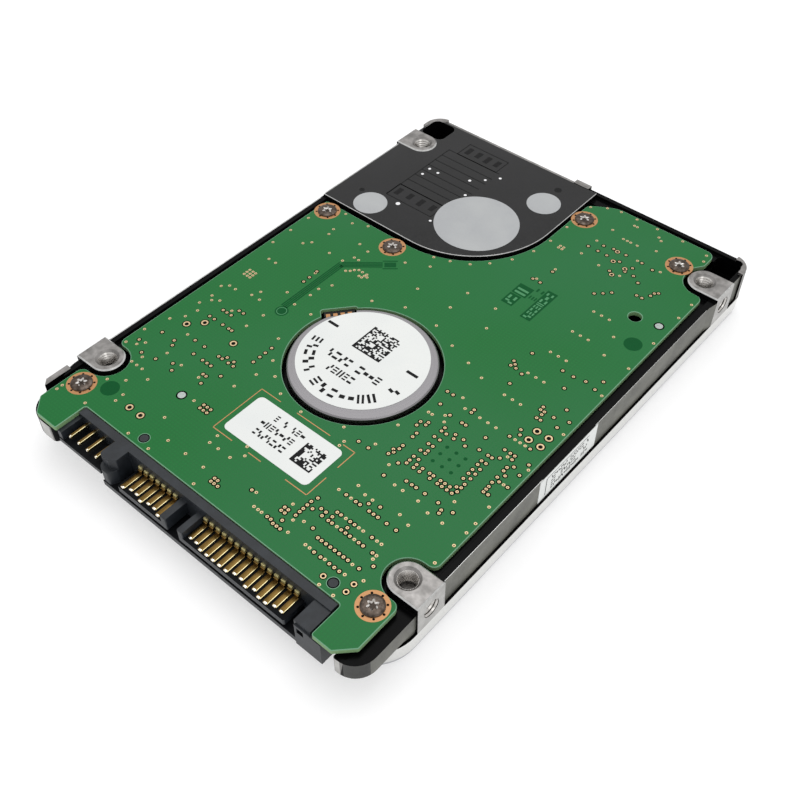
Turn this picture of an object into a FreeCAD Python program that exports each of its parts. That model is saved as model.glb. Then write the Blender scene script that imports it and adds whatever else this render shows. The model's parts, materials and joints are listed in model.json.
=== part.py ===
import FreeCAD, Part
import math
import os

# A 2.5-inch hard disk drive, lying on its cover with the circuit board up.
# Millimetres. X is the width, -Y is the end with the connector, +Z points from
# the cover (z = 0) to the plane that the drive is mounted by.

# ---- outside size (the 2.5-inch, 9.5 mm form factor) -----------------------
WIDTH, LENGTH, HEIGHT = 69.85, 100.35, 9.5
HALF_W, HALF_L = WIDTH / 2, LENGTH / 2

# ---- mounting holes, M3 ----------------------------------------------------
HOLE_X = 30.86                     # half of 61.72
HOLE_YS = (-36.175, 40.425)        # 76.60 apart
M3_R = 1.5
BOTTOM_HOLE_DEPTH = 3.0
SIDE_HOLE_DEPTH = 2.5
SIDE_HOLE_Z = HEIGHT - 3.0
BOSS_R = 2.8
CHAMFER = 0.2

# ---- heights ---------------------------------------------------------------
COVER_T = 0.7
GASKET_T = 0.2
CAST_Z = COVER_T + GASKET_T        # lowest face of the casting
FLANGE_Z = 3.5                     # top of the wide bare flange
FLOOR_IN, FLOOR_OUT = 6.0, 6.9     # casting floor under the circuit board
RAIL_Z = 8.75                      # top of the side rails
PLATE_IN, PLATE_Z = 8.3, 9.3       # floor of the motor bay, raised plate
POST_Z, POST_T = 9.2, 0.95         # top and wall of the far corner posts
LUG_Z, TAB_Z = 8.85, 9.35          # lug beside the jumper block, tab at the far end
BOARD_Z, BOARD_T = 8.2, 0.8
BOARD_TOP = BOARD_Z + BOARD_T
LIP_LOW, LIP_HIGH = 4.4, 7.7       # corner lips at the connector end
SOCKET_Z = 3.2                     # lowest face of the connector housing
STICKER_T = 0.06

# ---- plan sizes ------------------------------------------------------------
RAIL_X = 34.5
FLANGE_END = -46.7
WALL_END = -45.2                   # end wall behind the connector
FAR_WALL = 50.0
LEDGE_END = 49.2                   # far side of the ledge that the board lies in
CORNER_R = 3.6
NEAR_CORNER_R = 7.2                # corners of the flange and cover at the connector end
RAIL_CORNER_R = 5.7                # corners of the wall that stands on them
RAMP_LENGTH = 2.0                  # ramp from each rail out to a far boss
BOARD_X = 32.6
BOARD_END, BOARD_FAR = -50.15, 48.15
PLATE_X, PLATE_Y, PLATE_R = 3.7, 16.4, 17.2

# ---- spindle ---------------------------------------------------------------
SPINDLE = (0.0, -10.8)
MOTOR_R, MOTOR_Z = 11.9, 9.4
BOARD_HOLE_R = 12.7
FLEX_Z = (8.45, 8.6)               # underside and top of its copper pads
NOTCH_TURN = 49.2                  # degrees, from the X axis to the slot in the board
DISC_R, DISC_BORE_R, DISC_T = 32.5, 10.0, 0.635
DISC_BAY_R = 33.1
DISC_ZS = (1.9, 4.135)
FLANGE_R, HUB_SKIRT_R = 12.3, 10.9
SHAFT_R, RUNNING_GAP = 1.5, 0.02

# ---- actuator --------------------------------------------------------------
PIVOT = (-7.73, 27.82)
PARK_ANGLE = -22.3                 # direction of the arms when parked
HEAD_R = 34.0                      # pivot to head
ARM_ZS = ((1.0, 1.45), (3.0, 3.67), (5.23, 5.75))
SPRING_ZS = (1.45, 2.9, 3.67, 5.13)
SPRING_T = 0.1
COIL_Z = (2.435, 4.235)
COIL_IN, COIL_OUT, COIL_SPAN = 9.0, 18.2, 21.0
PRONG_Z = (2.9, 3.8)               # the two prongs that carry the coil
YOKE_IN, YOKE_OUT, YOKE_FROM, YOKE_TO = 6.8, 19.8, 88.0, 192.0
LOW_YOKE = (0.85, 1.5)
LOW_MAGNET = (1.5, 2.15)
HIGH_MAGNET = (4.55, 6.3)
HIGH_YOKE = (6.3, PLATE_IN)
YOKE_SCREWS = ((-25.94, 19.89), (-1.97, 40.2))
LATCH = (-30.6, 24.9)

# ---- fasteners -------------------------------------------------------------
BOARD_SCREWS = ((-29.9, -42.0), (29.9, -42.0), (-30.55, 13.4),
                (-15.0, 13.4), (6.05, 41.5), (25.4, 41.5))
PAD_R = 2.3                        # pads of the casting under the board screws
COLUMN_R = 2.4                     # columns of the casting around the cover screws
COVER_SCREWS = tuple((side * x, y) for side in (-1, 1)
                     for x, y in ((30.9, -42.8), (31.0, 19.3), (31.0, 46.3)))

# ---- serial-ATA plug -------------------------------------------------------
PITCH = 1.27
SIGNAL_X, SIGNAL_COUNT = -11.5, 7  # centre of the first signal contact
POWER_X, POWER_COUNT = 2.47, 15
TONGUE_Z = (5.0, 6.1)
PLUG_FRONT = -50.0
CONTACT_W, CONTACT_T = 0.84, 0.2
LONG_FRONT, SHORT_FRONT = -49.8, -49.35
LONG_SIGNAL = (0, 3, 6)            # the contacts that touch first
LONG_POWER = (2, 3, 4, 5, 6, 9, 11, 12)
JUMPER_X, JUMPER_PITCH, JUMPER_COUNT = -23.8, 2.0, 4


# ---- helpers ---------------------------------------------------------------
def vec(x, y, z=0.0):
    return FreeCAD.Vector(x, y, z)


def box(x0, x1, y0, y1, z0, z1):
    return Part.makeBox(x1 - x0, y1 - y0, z1 - z0, vec(x0, y0, z0))


def cyl(at, radius, z0, z1):
    return Part.makeCylinder(radius, z1 - z0, vec(at[0], at[1], z0))


def ring(at, outer, inner, z0, z1):
    return cyl(at, outer, z0, z1).cut(cyl(at, inner, z0, z1))


def outline(corners):
    """Closed wire through (x, y, radius) corners, each rounded by its radius."""
    ends = []
    for i, (x, y, radius) in enumerate(corners):
        here = vec(x, y)
        if radius == 0:
            ends.append((here, None, here))
            continue
        to_last = (vec(*corners[i - 1][:2]) - here).normalize()
        to_next = (vec(*corners[(i + 1) % len(corners)][:2]) - here).normalize()
        half = to_last.getAngle(to_next) / 2
        reach = radius / math.tan(half)
        inward = (to_last + to_next).normalize()
        middle = here + inward * (radius / math.sin(half) - radius)
        ends.append((here + to_last * reach, middle, here + to_next * reach))
    edges = []
    for i, (start, middle, end) in enumerate(ends):
        if middle is not None:
            edges.append(Part.Arc(start, middle, end).toShape())
        following = ends[(i + 1) % len(ends)][0]
        if end.distanceToPoint(following) > 1e-6:
            edges.append(Part.LineSegment(end, following).toShape())
    return Part.Wire(edges)


def prism(corners, z0, z1):
    face = Part.Face(outline(corners))
    face.translate(vec(0, 0, z0))
    return face.extrude(vec(0, 0, z1 - z0))


def slab(x0, x1, y0, y1, radius, z0, z1):
    """Upright box with its four vertical edges rounded."""
    corners = ((x0, y0, radius), (x1, y0, radius), (x1, y1, radius), (x0, y1, radius))
    return prism(corners, z0, z1)


def polar(at, radius, degrees):
    turn = math.radians(degrees)
    return (at[0] + radius * math.cos(turn), at[1] + radius * math.sin(turn))


def sector(at, inner, outer, start, end, z0, z1):
    """Piece of a flat ring between two directions, in degrees."""
    middle = (start + end) / 2
    inside = [vec(*polar(at, inner, a)) for a in (end, middle, start)]
    outside = [vec(*polar(at, outer, a)) for a in (start, middle, end)]
    wire = Part.Wire([
        Part.Arc(*inside).toShape(),
        Part.LineSegment(inside[2], outside[0]).toShape(),
        Part.Arc(*outside).toShape(),
        Part.LineSegment(outside[2], inside[0]).toShape(),
    ])
    face = Part.Face(wire)
    face.translate(vec(0, 0, z0))
    return face.extrude(vec(0, 0, z1 - z0))


def bar(start, end, width, z0, z1):
    """Flat bar with round ends from one point to another."""
    along = (vec(*end) - vec(*start)).normalize()
    side = vec(-along.y, along.x) * (width / 2)
    points = [vec(*start) + side, vec(*start) - side, vec(*end) - side, vec(*end) + side]
    body = prism([(p.x, p.y, 0) for p in points], z0, z1)
    return join([body, cyl(start, width / 2, z0, z1), cyl(end, width / 2, z0, z1)])


def join(shapes):
    first, rest = shapes[0], shapes[1:]
    return first.fuse(rest).removeSplitter() if rest else first


def group(shapes):
    return Part.makeCompound(shapes)


def screw(at, head_r, head_z, shank_r, shank_end, recess_r):
    """Screw with a flat head from head_z[0] to head_z[1] and a driver recess."""
    outer, inner = head_z
    head = cyl(at, head_r, min(head_z), max(head_z))
    shank = cyl(at, shank_r, min(inner, shank_end), max(inner, shank_end))
    depth = (inner - outer) * 0.6
    recess = cyl(at, recess_r, min(outer, outer + depth), max(outer, outer + depth))
    return head.fuse(shank).removeSplitter().cut(recess)


def with_arm(shape):
    """Turn a shape drawn along +X from the origin to the parked arms."""
    shape.rotate(vec(0, 0), vec(0, 0, 1), PARK_ANGLE)
    shape.translate(vec(*PIVOT))
    return shape


# ---- casting ---------------------------------------------------------------
def boss(sign, y):
    """Mounting boss: a tongue of metal that runs out to the side face."""
    outside, inside = sign * HALF_W, sign * (HOLE_X - BOSS_R)
    corners = [(inside, y - BOSS_R, BOSS_R - 0.01), (outside, y - BOSS_R, 0),
               (outside, y + BOSS_R, 0), (inside, y + BOSS_R, BOSS_R - 0.01)]
    body = prism(corners if sign > 0 else corners[::-1], CAST_Z, HEIGHT)
    top = [e for e in body.Edges if all(v.Z > HEIGHT - 0.01 for v in e.Vertexes)]
    return body.makeChamfer(CHAMFER, top)


def boss_holes(sign, y):
    """Tapped hole from above, with its countersunk mouth, and one from the side."""
    hole = cyl((sign * HOLE_X, y), M3_R, HEIGHT - BOTTOM_HOLE_DEPTH, HEIGHT)
    mouth = Part.makeCone(M3_R, M3_R + 0.4, 0.4, vec(sign * HOLE_X, y, HEIGHT - 0.4))
    side = Part.makeCylinder(M3_R, SIDE_HOLE_DEPTH,
                             vec(sign * HALF_W, y, SIDE_HOLE_Z), vec(-sign, 0, 0))
    return [hole, mouth, side]


def plate_corners(inset):
    """Plan of the raised plate over the voice-coil motor, drawn in by inset."""
    left, far = -34.3 + inset, 49.1 - inset
    return ((left, PLATE_Y + inset, 0), (PLATE_X - inset, PLATE_Y + inset, PLATE_R - inset),
            (PLATE_X - inset, far, 0), (left, far, 2.6))


def corner_pockets():
    right = slab(29.0, 33.6, 43.2, LEDGE_END, 0.9, 5.0, HEIGHT)
    left = slab(-33.8, -28.6, 43.2, 48.5, 1.4, 5.0, HEIGHT)
    return [right, left]


def corner_posts():
    """Rounded posts of bare metal at the two far corners."""
    side, end, radius = HALF_W - 0.1, HALF_L - 0.05, 3.3
    outer = slab(-side, side, 0, end, radius, FLANGE_Z, POST_Z)
    inner = slab(-side + POST_T, side - POST_T, 0, end - POST_T, radius - POST_T,
                 FLANGE_Z, POST_Z)
    wall = outer.cut(inner)
    right = wall.common(box(32.0, HALF_W, 46.4, HALF_L, FLANGE_Z, POST_Z))
    left = wall.common(box(-HALF_W, -32.0, 45.6, HALF_L, FLANGE_Z, POST_Z))
    return [right, left]


def lips():
    right = prism(((30.4, -HALF_L, 0.3), (34.6, -HALF_L, 3.6), (34.6, -38.0, 0),
                   (30.4, -38.0, 0)), LIP_LOW, LIP_HIGH)
    left = prism(((-33.7, -38.0, 0), (-33.7, -HALF_L, 4.2), (-26.9, -HALF_L, 1.0),
                  (-26.9, -44.0, 0)), LIP_LOW, LIP_HIGH)
    return [right, left]


def footprint(inset, z0, z1):
    """Plan of the flange and the cover, drawn in by inset."""
    side, near, far = HALF_W - inset, FLANGE_END + inset, HALF_L - inset
    near_r, far_r = NEAR_CORNER_R - inset, CORNER_R - inset
    return prism(((-side, near, near_r), (side, near, near_r), (side, far, far_r),
                  (-side, far, far_r)), z0, z1)


def casting_shell():
    flange = footprint(0, CAST_Z, FLANGE_Z)
    flange = flange.cut(box(-27, 29, FLANGE_END, WALL_END, SOCKET_Z - 0.1, FLANGE_Z))
    rail = prism(((-RAIL_X, WALL_END, RAIL_CORNER_R), (RAIL_X, WALL_END, RAIL_CORNER_R),
                  (RAIL_X, FAR_WALL, 3.0), (-RAIL_X, FAR_WALL, 3.0)), FLANGE_Z, RAIL_Z)
    ledge = slab(-33.4, 33.4, -60, LEDGE_END, 2.2, BOARD_Z, HEIGHT)
    pocket = slab(-31.8, 31.8, -60, 47.2, 1.5, FLOOR_OUT, HEIGHT)
    step = box(32.0, HALF_W, -HALF_L, HOLE_YS[0] - BOSS_R, LIP_HIGH, HEIGHT)
    rail = rail.cut([ledge, pocket, step])
    start = HOLE_YS[1] - BOSS_R + 0.1
    ramps = [prism(((sign * HALF_W, start, 0), (sign * RAIL_X, start - RAMP_LENGTH, 0),
                    (sign * (RAIL_X - 1), start, 0)), FLANGE_Z, RAIL_Z)
             for sign in (-1, 1)]
    return join([flange, rail] + ramps)


def disc_bay():
    return cyl(SPINDLE, DISC_BAY_R, CAST_Z, FLOOR_IN)


def cavity():
    """Inside of the drive: disc bay, actuator bay and the deep motor bay."""
    bay = prism(((-33.2, 7.5, 0.8), (33.2, 7.5, 0.8), (33.2, 36.2, 0.8), (27.3, 36.2, 0.8),
                 (27.3, 48.3, 1.5), (-27.3, 48.3, 1.5), (-27.3, 36.2, 0.8),
                 (-33.2, 36.2, 0.8)), CAST_Z, FLOOR_IN)
    deep = prism(((-33.0, 17.6, 0.8), (2.5, 17.6, PLATE_R - 1.2), (2.5, 48.0, 1.0),
                  (-27.3, 48.0, 1.0), (-27.3, 36.2, 0.8), (-33.0, 36.2, 0.8)),
                 FLOOR_IN - 0.5, PLATE_IN)
    return [disc_bay(), bay, deep]


def base_casting():
    plate = prism(plate_corners(0), FLOOR_OUT - 0.4, PLATE_Z)
    rim = [e for e in plate.Edges if all(v.Z > PLATE_Z - 0.01 for v in e.Vertexes)]
    plate = plate.makeFillet(0.3, rim)
    lug = prism(((-HALF_W, -44.9, 0), (-33.95, -45.9, 0), (-33.95, -41.0, 0),
                 (-HALF_W, -41.0, 0)), LIP_LOW, LUG_Z)
    lug_web = box(-34.0, -32.6, -46.0, -38.0, LIP_LOW, 7.6)
    far_tab = box(-1.4, 1.8, 49.0, HALF_L, FLANGE_Z, TAB_Z)
    body = join([casting_shell(), plate, lug, lug_web, far_tab])
    body = body.cut(cavity() + corner_pockets())
    places = [(sign, y) for sign in (-1, 1) for y in HOLE_YS]
    bosses = [boss(*place) for place in places]
    pads = [cyl(at, PAD_R, FLOOR_OUT - 0.5, BOARD_Z) for at in BOARD_SCREWS]
    columns = [cyl(at, COLUMN_R, CAST_Z, FLOOR_IN + 0.3) for at in COVER_SCREWS]
    root = box(-27.0, 30.4, WALL_END, -43.0, FLOOR_IN, FLOOR_OUT)
    body = join([body, root] + pads + columns + corner_posts() + lips())
    body = join([body.cut([disc_bay()] + corner_pockets())] + bosses)
    holes = [hole for place in places for hole in boss_holes(*place)]
    holes += [cyl(SPINDLE, MOTOR_R, FLOOR_IN - 1, HEIGHT)]
    holes += [cyl(at, 0.8, 7.0, BOARD_Z) for at in BOARD_SCREWS]
    holes += [cyl(at, 0.95, CAST_Z, 3.6) for at in COVER_SCREWS]
    holes += [cyl(at, 0.9, PLATE_IN, PLATE_Z) for at in YOKE_SCREWS]
    holes += [cyl(at, 2.1, PLATE_Z - 0.5, PLATE_Z) for at in YOKE_SCREWS]
    holes += [cyl(PIVOT, 1.0, PLATE_IN, PLATE_Z), cyl(PIVOT, 2.3, PLATE_Z - 0.6, PLATE_Z)]
    return body.cut(holes + [header_block()])


def top_cover():
    body = footprint(0.15, 0, COVER_T)
    low = [e for e in body.Edges if all(v.Z < 0.01 for v in e.Vertexes)]
    body = body.makeFillet(0.3, low)
    label = slab(-26.5, 26.5, -34.5, 36.5, 1.5, 0, 0.12)
    holes = [cyl(at, 1.1, 0, COVER_T) for at in COVER_SCREWS]
    sinks = [cyl(at, 2.0, 0, 0.4) for at in COVER_SCREWS]
    return body.cut([label] + holes + sinks)


def cover_label():
    return slab(-26.3, 26.3, -34.3, 36.3, 1.3, 0.06, 0.12)


def cover_gasket():
    return footprint(0.4, COVER_T, CAST_Z).cut(footprint(1.4, COVER_T, CAST_Z))


def cover_screws():
    return group([screw(at, 1.7, (0.05, 0.4), 0.95, 3.5, 0.8) for at in COVER_SCREWS])


# ---- circuit board ---------------------------------------------------------
def at_notch(shape):
    """Turn a shape drawn beside the origin to the slot by the motor."""
    shape.rotate(vec(0, 0), vec(0, 0, 1), NOTCH_TURN)
    shape.translate(vec(*SPINDLE))
    return shape


def board_notch():
    """Slot beside the motor hole that shows the motor's flat cable."""
    return at_notch(slab(-5.4, 0.7, 9.0, 13.15, 0.5, BOARD_Z, BOARD_TOP))


def circuit_board():
    near, far = HOLE_YS
    cut = BOSS_R + 0.7
    bay_x = HOLE_X - cut
    body = prism((
        (26.7, BOARD_END, 0.4), (30.2, BOARD_END, 0.3), (BOARD_X, -47.7, 0.3),
        (BOARD_X, near - cut, 1.2), (bay_x, near - cut, cut - 0.01),
        (bay_x, near + cut, cut - 0.01), (BOARD_X, near + cut, 1.2),
        (BOARD_X, far - cut, 1.2), (bay_x, far - cut, cut - 0.01),
        (bay_x, far + 2.0, 1.0), (28.7, far + 3.9, 0.8), (28.7, BOARD_FAR, 1.6),
        (8.8, BOARD_FAR, 5.0), (4.25, 45.4, 1.5), (4.25, 15.5, 17.8),
        (-BOARD_X, 15.5, 0.4), (-BOARD_X, near + cut, 1.2), (-bay_x, near + cut, cut - 0.01),
        (-bay_x, near - cut, cut - 0.01), (-BOARD_X, near - cut, 1.2),
        (-BOARD_X, -47.7, 0.6), (-30.2, BOARD_END, 0.6), (-25.7, BOARD_END, 0.3),
        (-25.7, -44.5, 0.5), (26.7, -44.5, 0.5)), BOARD_Z, BOARD_TOP)
    holes = [cyl(at, 0.85, BOARD_Z, BOARD_TOP) for at in BOARD_SCREWS]
    holes += [cyl(SPINDLE, BOARD_HOLE_R, BOARD_Z, BOARD_TOP), board_notch()]
    holes += [cyl((26.45, 25.9), 1.15, BOARD_Z, BOARD_TOP)]
    holes += [cyl(at, 0.7, BOARD_Z, BOARD_TOP) for at in PEGS]
    return body.cut(holes)


def board_screws():
    return group([screw(at, 1.75, (BOARD_TOP + 0.34, BOARD_TOP), 0.8, 7.1, 0.55)
                  for at in BOARD_SCREWS])


def chip(x, y, width, length, height):
    return box(x - width / 2, x + width / 2, y - length / 2, y + length / 2,
               BOARD_Z - height, BOARD_Z)


def controller_chip():
    return chip(22.25, -17.0, 11.0, 11.0, 1.0)


def memory_chips():
    return group([chip(19.5, -34.3, 11.0, 7.5, 0.9), chip(8.0, -38.6, 5.0, 6.0, 0.9)])


def motor_driver_chip():
    return chip(-22.6, -19.5, 7.0, 7.0, 0.9)


def board_passives():
    """Small coils and capacitors on the hidden side of the board."""
    coils = [chip(-26.5, -9.0 + 5.0 * i, 3.4, 3.4, 1.1) for i in range(3)]
    capacitors = [chip(-14.0 + 2.6 * i, -37.5, 1.6, 0.9, 0.8) for i in range(6)]
    return group(coils + capacitors)


# ---- serial-ATA plug -------------------------------------------------------
PEGS = ((-14.1, -42.9), (23.7, -42.8))


def contact(x, front):
    """Bent strip: along the tongue, up behind the wall, out under the board."""
    half, t = CONTACT_W / 2, CONTACT_T
    flat_z, foot_z = TONGUE_Z[1], BOARD_Z - t
    flat = box(x - half, x + half, front, -45.3, flat_z, flat_z + t)
    riser = box(x - half, x + half, -45.5, -45.3, flat_z, foot_z + t)
    foot = box(x - half, x + half, -45.5, -43.4, foot_z, foot_z + t)
    return join([flat, riser, foot])


def contact_row(start, count, long_ones):
    return group([contact(start + PITCH * i, LONG_FRONT if i in long_ones else SHORT_FRONT)
                  for i in range(count)])


def signal_contacts():
    return contact_row(SIGNAL_X, SIGNAL_COUNT, LONG_SIGNAL)


def power_contacts():
    return contact_row(POWER_X, POWER_COUNT, LONG_POWER)


def jumper_pins():
    pins = []
    for i in range(JUMPER_COUNT):
        x = JUMPER_X + JUMPER_PITCH * i
        lead = box(x - 0.25, x + 0.25, -49.3, -45.4, 7.2, 7.7)
        foot = box(x - 0.25, x + 0.25, -45.9, -45.4, 7.2, BOARD_Z)
        tail = box(x - 0.25, x + 0.25, -45.9, -43.4, BOARD_Z - 0.2, BOARD_Z)
        pins.append(join([lead, foot, tail]))
    return group(pins)


def sata_housing():
    top, wall = 8.85, -46.0
    low, high = TONGUE_Z
    body = [
        box(-16.2, 28.3, PLUG_FRONT, WALL_END, SOCKET_Z, 4.2),
        box(-25.5, 26.3, wall, WALL_END, 5.7, top),
        box(-16.2, 26.3, wall, WALL_END, SOCKET_Z, 5.7),
        box(-25.5, 26.3, WALL_END, -44.65, FLOOR_OUT + 0.1, top),
        box(-25.5, 26.3, -44.65, -41.7, FLOOR_OUT + 0.1, BOARD_Z),
        box(-25.8, -16.2, PLUG_FRONT, wall, 5.7, 6.5),
        box(-25.8, -24.9, PLUG_FRONT + 0.1, wall, 5.7, 8.2),
        prism(((-17.0, -49.0, 0.7), (-14.9, -49.0, 0), (-14.0, -48.2, 0.3),
               (-14.0, wall, 0), (-17.0, wall, 0)), 5.7, top),
        prism(((-17.0, -49.9, 1.4), (-14.6, -49.9, 0.4), (-14.0, -48.5, 0.2),
               (-14.0, wall, 0), (-17.0, wall, 0)), SOCKET_Z, 6.9),
        slab(-12.4, -1.7, PLUG_FRONT, wall + 0.5, 0.3, low, high),
        slab(-2.9, -1.7, PLUG_FRONT, wall + 0.5, 0.2, low, 7.4),
        slab(0.7, 21.4, PLUG_FRONT, wall + 0.5, 0.3, low, high),
        slab(0.7, 1.8, PLUG_FRONT, wall + 0.5, 0.2, low, 7.4),
        box(23.4, 26.3, -49.9, wall, SOCKET_Z, 8.6),
        box(26.2, 28.3, -HALF_L, WALL_END, SOCKET_Z, 7.9),
        box(23.6, 26.3, -HALF_L, -49.9, SOCKET_Z, 8.0),
    ]
    body += [cyl(at, 0.7, BOARD_Z - 0.2, BOARD_TOP) for at in PEGS]
    slot = box(24.0, 25.2, -HALF_L, -49.0, 6.4, 7.5)
    metal = [signal_contacts(), power_contacts(), jumper_pins()]
    return join(body).cut([slot] + metal)


# ---- head connector through the floor --------------------------------------
HEADER = (10.0, 20.0, 34.0, 37.5)


def header_block():
    x0, x1, y0, y1 = HEADER
    return box(x0, x1, y0, y1, FLOOR_IN, BOARD_Z - 0.3)


def header_springs():
    x0, _, y0, _ = HEADER
    return group([box(x0 + 0.5 + i, x0 + 0.8 + i, y0 + row, y0 + row + 1.2,
                      BOARD_Z - 0.3, BOARD_Z)
                  for i in range(10) for row in (0.3, 2.0)])


def flex_bracket():
    x0, x1, y0, y1 = HEADER
    foot = box(x0 - 2.1, x1 + 2, y0 - 1.5, y1 + 1.5, 5.3, FLOOR_IN)
    tab = box(x0 - 2.1, x0 - 1.7, y0 - 3.0, y1 - 1.5, 2.0, FLOOR_IN)
    return join([foot, tab])


def flex_cable():
    return sector((2.2, 33.0), 5.52, 5.67, 1.5, 176.0, 2.0, 4.8)


# ---- spindle motor ---------------------------------------------------------
def motor_bracket():
    cup = cyl(SPINDLE, MOTOR_R, FLOOR_IN, MOTOR_Z)
    rim = [e for e in cup.Edges if all(v.Z > MOTOR_Z - 0.01 for v in e.Vertexes)]
    cup = cup.makeChamfer(CHAMFER, rim)
    room = ring(SPINDLE, MOTOR_R - 0.8, 4.2, FLOOR_IN, 8.6)
    bore = cyl(SPINDLE, 3.2, FLOOR_IN, 9.2)
    window = at_notch(box(-5.1, 0.4, MOTOR_R - 1.0, MOTOR_R + 0.1, 8.2, MOTOR_Z))
    return cup.cut([room, bore, window])


def bearing_sleeve():
    return ring(SPINDLE, 3.2, SHAFT_R + RUNNING_GAP, FLOOR_IN, 8.6)


def thrust_plate():
    return cyl(SPINDLE, 3.2, 8.6, 9.2)


def stator_core():
    core = ring(SPINDLE, 5.6, 4.2, 6.4, 7.6)
    pieces = [core]
    for i in range(9):
        turn = 40.0 * i
        pieces.append(sector(SPINDLE, 7.9, 8.9, turn - 15, turn + 15, 6.4, 7.6))
        pole = box(5.0, 8.1, -0.6, 0.6, 6.4, 7.6)
        pole.rotate(vec(0, 0), vec(0, 0, 1), turn)
        pole.translate(vec(*SPINDLE))
        pieces.append(pole)
    return join(pieces)


def stator_coils():
    coils = []
    for i in range(9):
        coil = box(5.75, 7.7, -1.25, 1.25, 6.05, 7.95)
        coil = coil.cut(box(5.0, 8.1, -0.6, 0.6, 6.4, 7.6))
        coil.rotate(vec(0, 0), vec(0, 0, 1), 40.0 * i)
        coil.translate(vec(*SPINDLE))
        coils.append(coil)
    return group(coils)


def motor_flex():
    """Flat cable that comes out of the motor's window, on a stiff block in the slot."""
    low, high = FLEX_Z
    block = box(-4.9, 0.2, MOTOR_R + 0.1, 13.1, FLOOR_OUT, low)
    tongue = box(-4.7, 0.0, MOTOR_R - 0.9, MOTOR_R + 0.2, low - 0.15, low)
    pads = [box(x, x + 0.7, MOTOR_R - 0.7, 12.4, low, high) for x in (-4.6, -3.4, -2.2, -1.0)]
    return at_notch(join([block, tongue] + pads))


# ---- rotor -----------------------------------------------------------------
CLAMP_HOLES = [polar(SPINDLE, 6.0, 45 + 90 * i) for i in range(4)]


def spindle_hub():
    low, high = DISC_ZS
    flange_z = high + DISC_T
    body = cyl(SPINDLE, DISC_BORE_R - 0.01, low, 5.7)
    flange = cyl(SPINDLE, FLANGE_R, flange_z, flange_z + 0.8)
    skirt = ring(SPINDLE, HUB_SKIRT_R, 10.0, flange_z + 0.5, 8.2)
    neck = ring(SPINDLE, HUB_SKIRT_R, 9.5, flange_z + 0.5, 5.7)
    holes = [cyl(at, 0.8, low, 3.6) for at in CLAMP_HOLES]
    return join([body, flange, skirt, neck]).cut(holes + [cyl(SPINDLE, SHAFT_R, 2.4, 5.7)])


def spindle_shaft():
    return cyl(SPINDLE, SHAFT_R, 2.4, 8.5)


def rotor_magnet():
    return ring(SPINDLE, 10.0, 9.2, 5.9, 8.1)


def platter(z):
    return ring(SPINDLE, DISC_R, DISC_BORE_R, z, z + DISC_T)


def platter_spacer():
    low, high = DISC_ZS
    return ring(SPINDLE, 12.0, DISC_BORE_R, low + DISC_T, high)


def disc_clamp():
    z = DISC_ZS[0]
    body = cyl(SPINDLE, 11.8, z - 0.5, z)
    slots = [sector(SPINDLE, 8.2, 9.0, 12 + 90 * i, 78 + 90 * i, z - 0.5, z) for i in range(4)]
    holes = [cyl(at, 0.8, z - 0.5, z) for at in CLAMP_HOLES]
    return body.cut(slots + holes + [cyl(SPINDLE, 2.0, z - 0.5, z)])


def clamp_screws():
    z = DISC_ZS[0] - 0.5
    return group([screw(at, 1.4, (z - 0.4, z), 0.8, 3.5, 0.5) for at in CLAMP_HOLES])


# ---- actuator --------------------------------------------------------------
def coil_prongs():
    return [bar((-3.5, side), (-7.6, side), 1.4, *PRONG_Z) for side in (-3.3, 3.3)]


def arm_block():
    """Solid block around the pivot with three thin arms over the discs."""
    low, high = ARM_ZS[0][0], ARM_ZS[-1][1]
    origin = (0, 0)
    pieces = [cyl(origin, 5.6, low, high)]
    for z0, z1 in ARM_ZS:
        arm = prism(((4.0, -4.4, 0), (14.0, -2.9, 0), (24.0, -1.7, 1.2),
                     (24.0, 1.7, 1.2), (14.0, 2.9, 0), (4.0, 4.4, 0)), z0, z1)
        pieces.append(arm.cut(cyl((11.0, 0), 1.5, z0, z1)))
    shelf = box(3.2, 6.3, -2.0, 2.0, 2.0, 4.8)
    shelf.rotate(vec(0, 0), vec(0, 0, 1), 72.3)
    pieces.append(shelf)
    pieces += coil_prongs()
    return with_arm(join(pieces).cut(cyl(origin, 4.2, low, high)))


def coil_outline(grow):
    """Plan of the voice coil, grown all round by a margin."""
    span = COIL_SPAN + math.degrees(grow / COIL_OUT)
    return sector((0, 0), COIL_IN - grow, COIL_OUT + grow, 180 - span, 180 + span, *COIL_Z)


def coil_window():
    return sector((0, 0), COIL_IN + 2.6, COIL_OUT - 2.6, 180 - 11, 180 + 11, *COIL_Z)


def voice_coil():
    return with_arm(coil_outline(0).cut(coil_window()))


def coil_frame():
    """Plastic moulded around the coil, out to the latch tab."""
    body = coil_outline(0.6)
    tab = bar((-17.9, 5.6), (-18.6, 4.6), 0.8, *COIL_Z)
    return with_arm(join([body, tab]).cut([coil_outline(0)] + coil_prongs()))


def pivot_bearing():
    return ring(PIVOT, 4.2, 1.6 + RUNNING_GAP, 1.0, 5.75)


def head_suspensions():
    springs = []
    for z in SPRING_ZS:
        base = prism(((20.0, -1.5, 0.4), (26.0, -1.5, 0), (HEAD_R + 0.4, -0.5, 0),
                      (HEAD_R + 2.5, -0.25, 0), (HEAD_R + 2.5, 0.25, 0),
                      (HEAD_R + 0.4, 0.5, 0), (26.0, 1.5, 0), (20.0, 1.5, 0.4)),
                     z, z + SPRING_T)
        springs.append(with_arm(base))
    return group(springs)


def head_sliders():
    """Four small ceramic sliders, each on the disc side of its spring."""
    sliders = []
    for i, z in enumerate(SPRING_ZS):
        low = z + SPRING_T if i % 2 == 0 else z - 0.23
        sliders.append(with_arm(box(HEAD_R - 0.6, HEAD_R + 0.6, -0.4, 0.4, low, low + 0.23)))
    return group(sliders)


def preamp_chip():
    body = box(6.3, 6.7, -1.0, 1.0, 2.4, 4.4)
    body.rotate(vec(0, 0), vec(0, 0, 1), 72.3)
    return with_arm(body)


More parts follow.
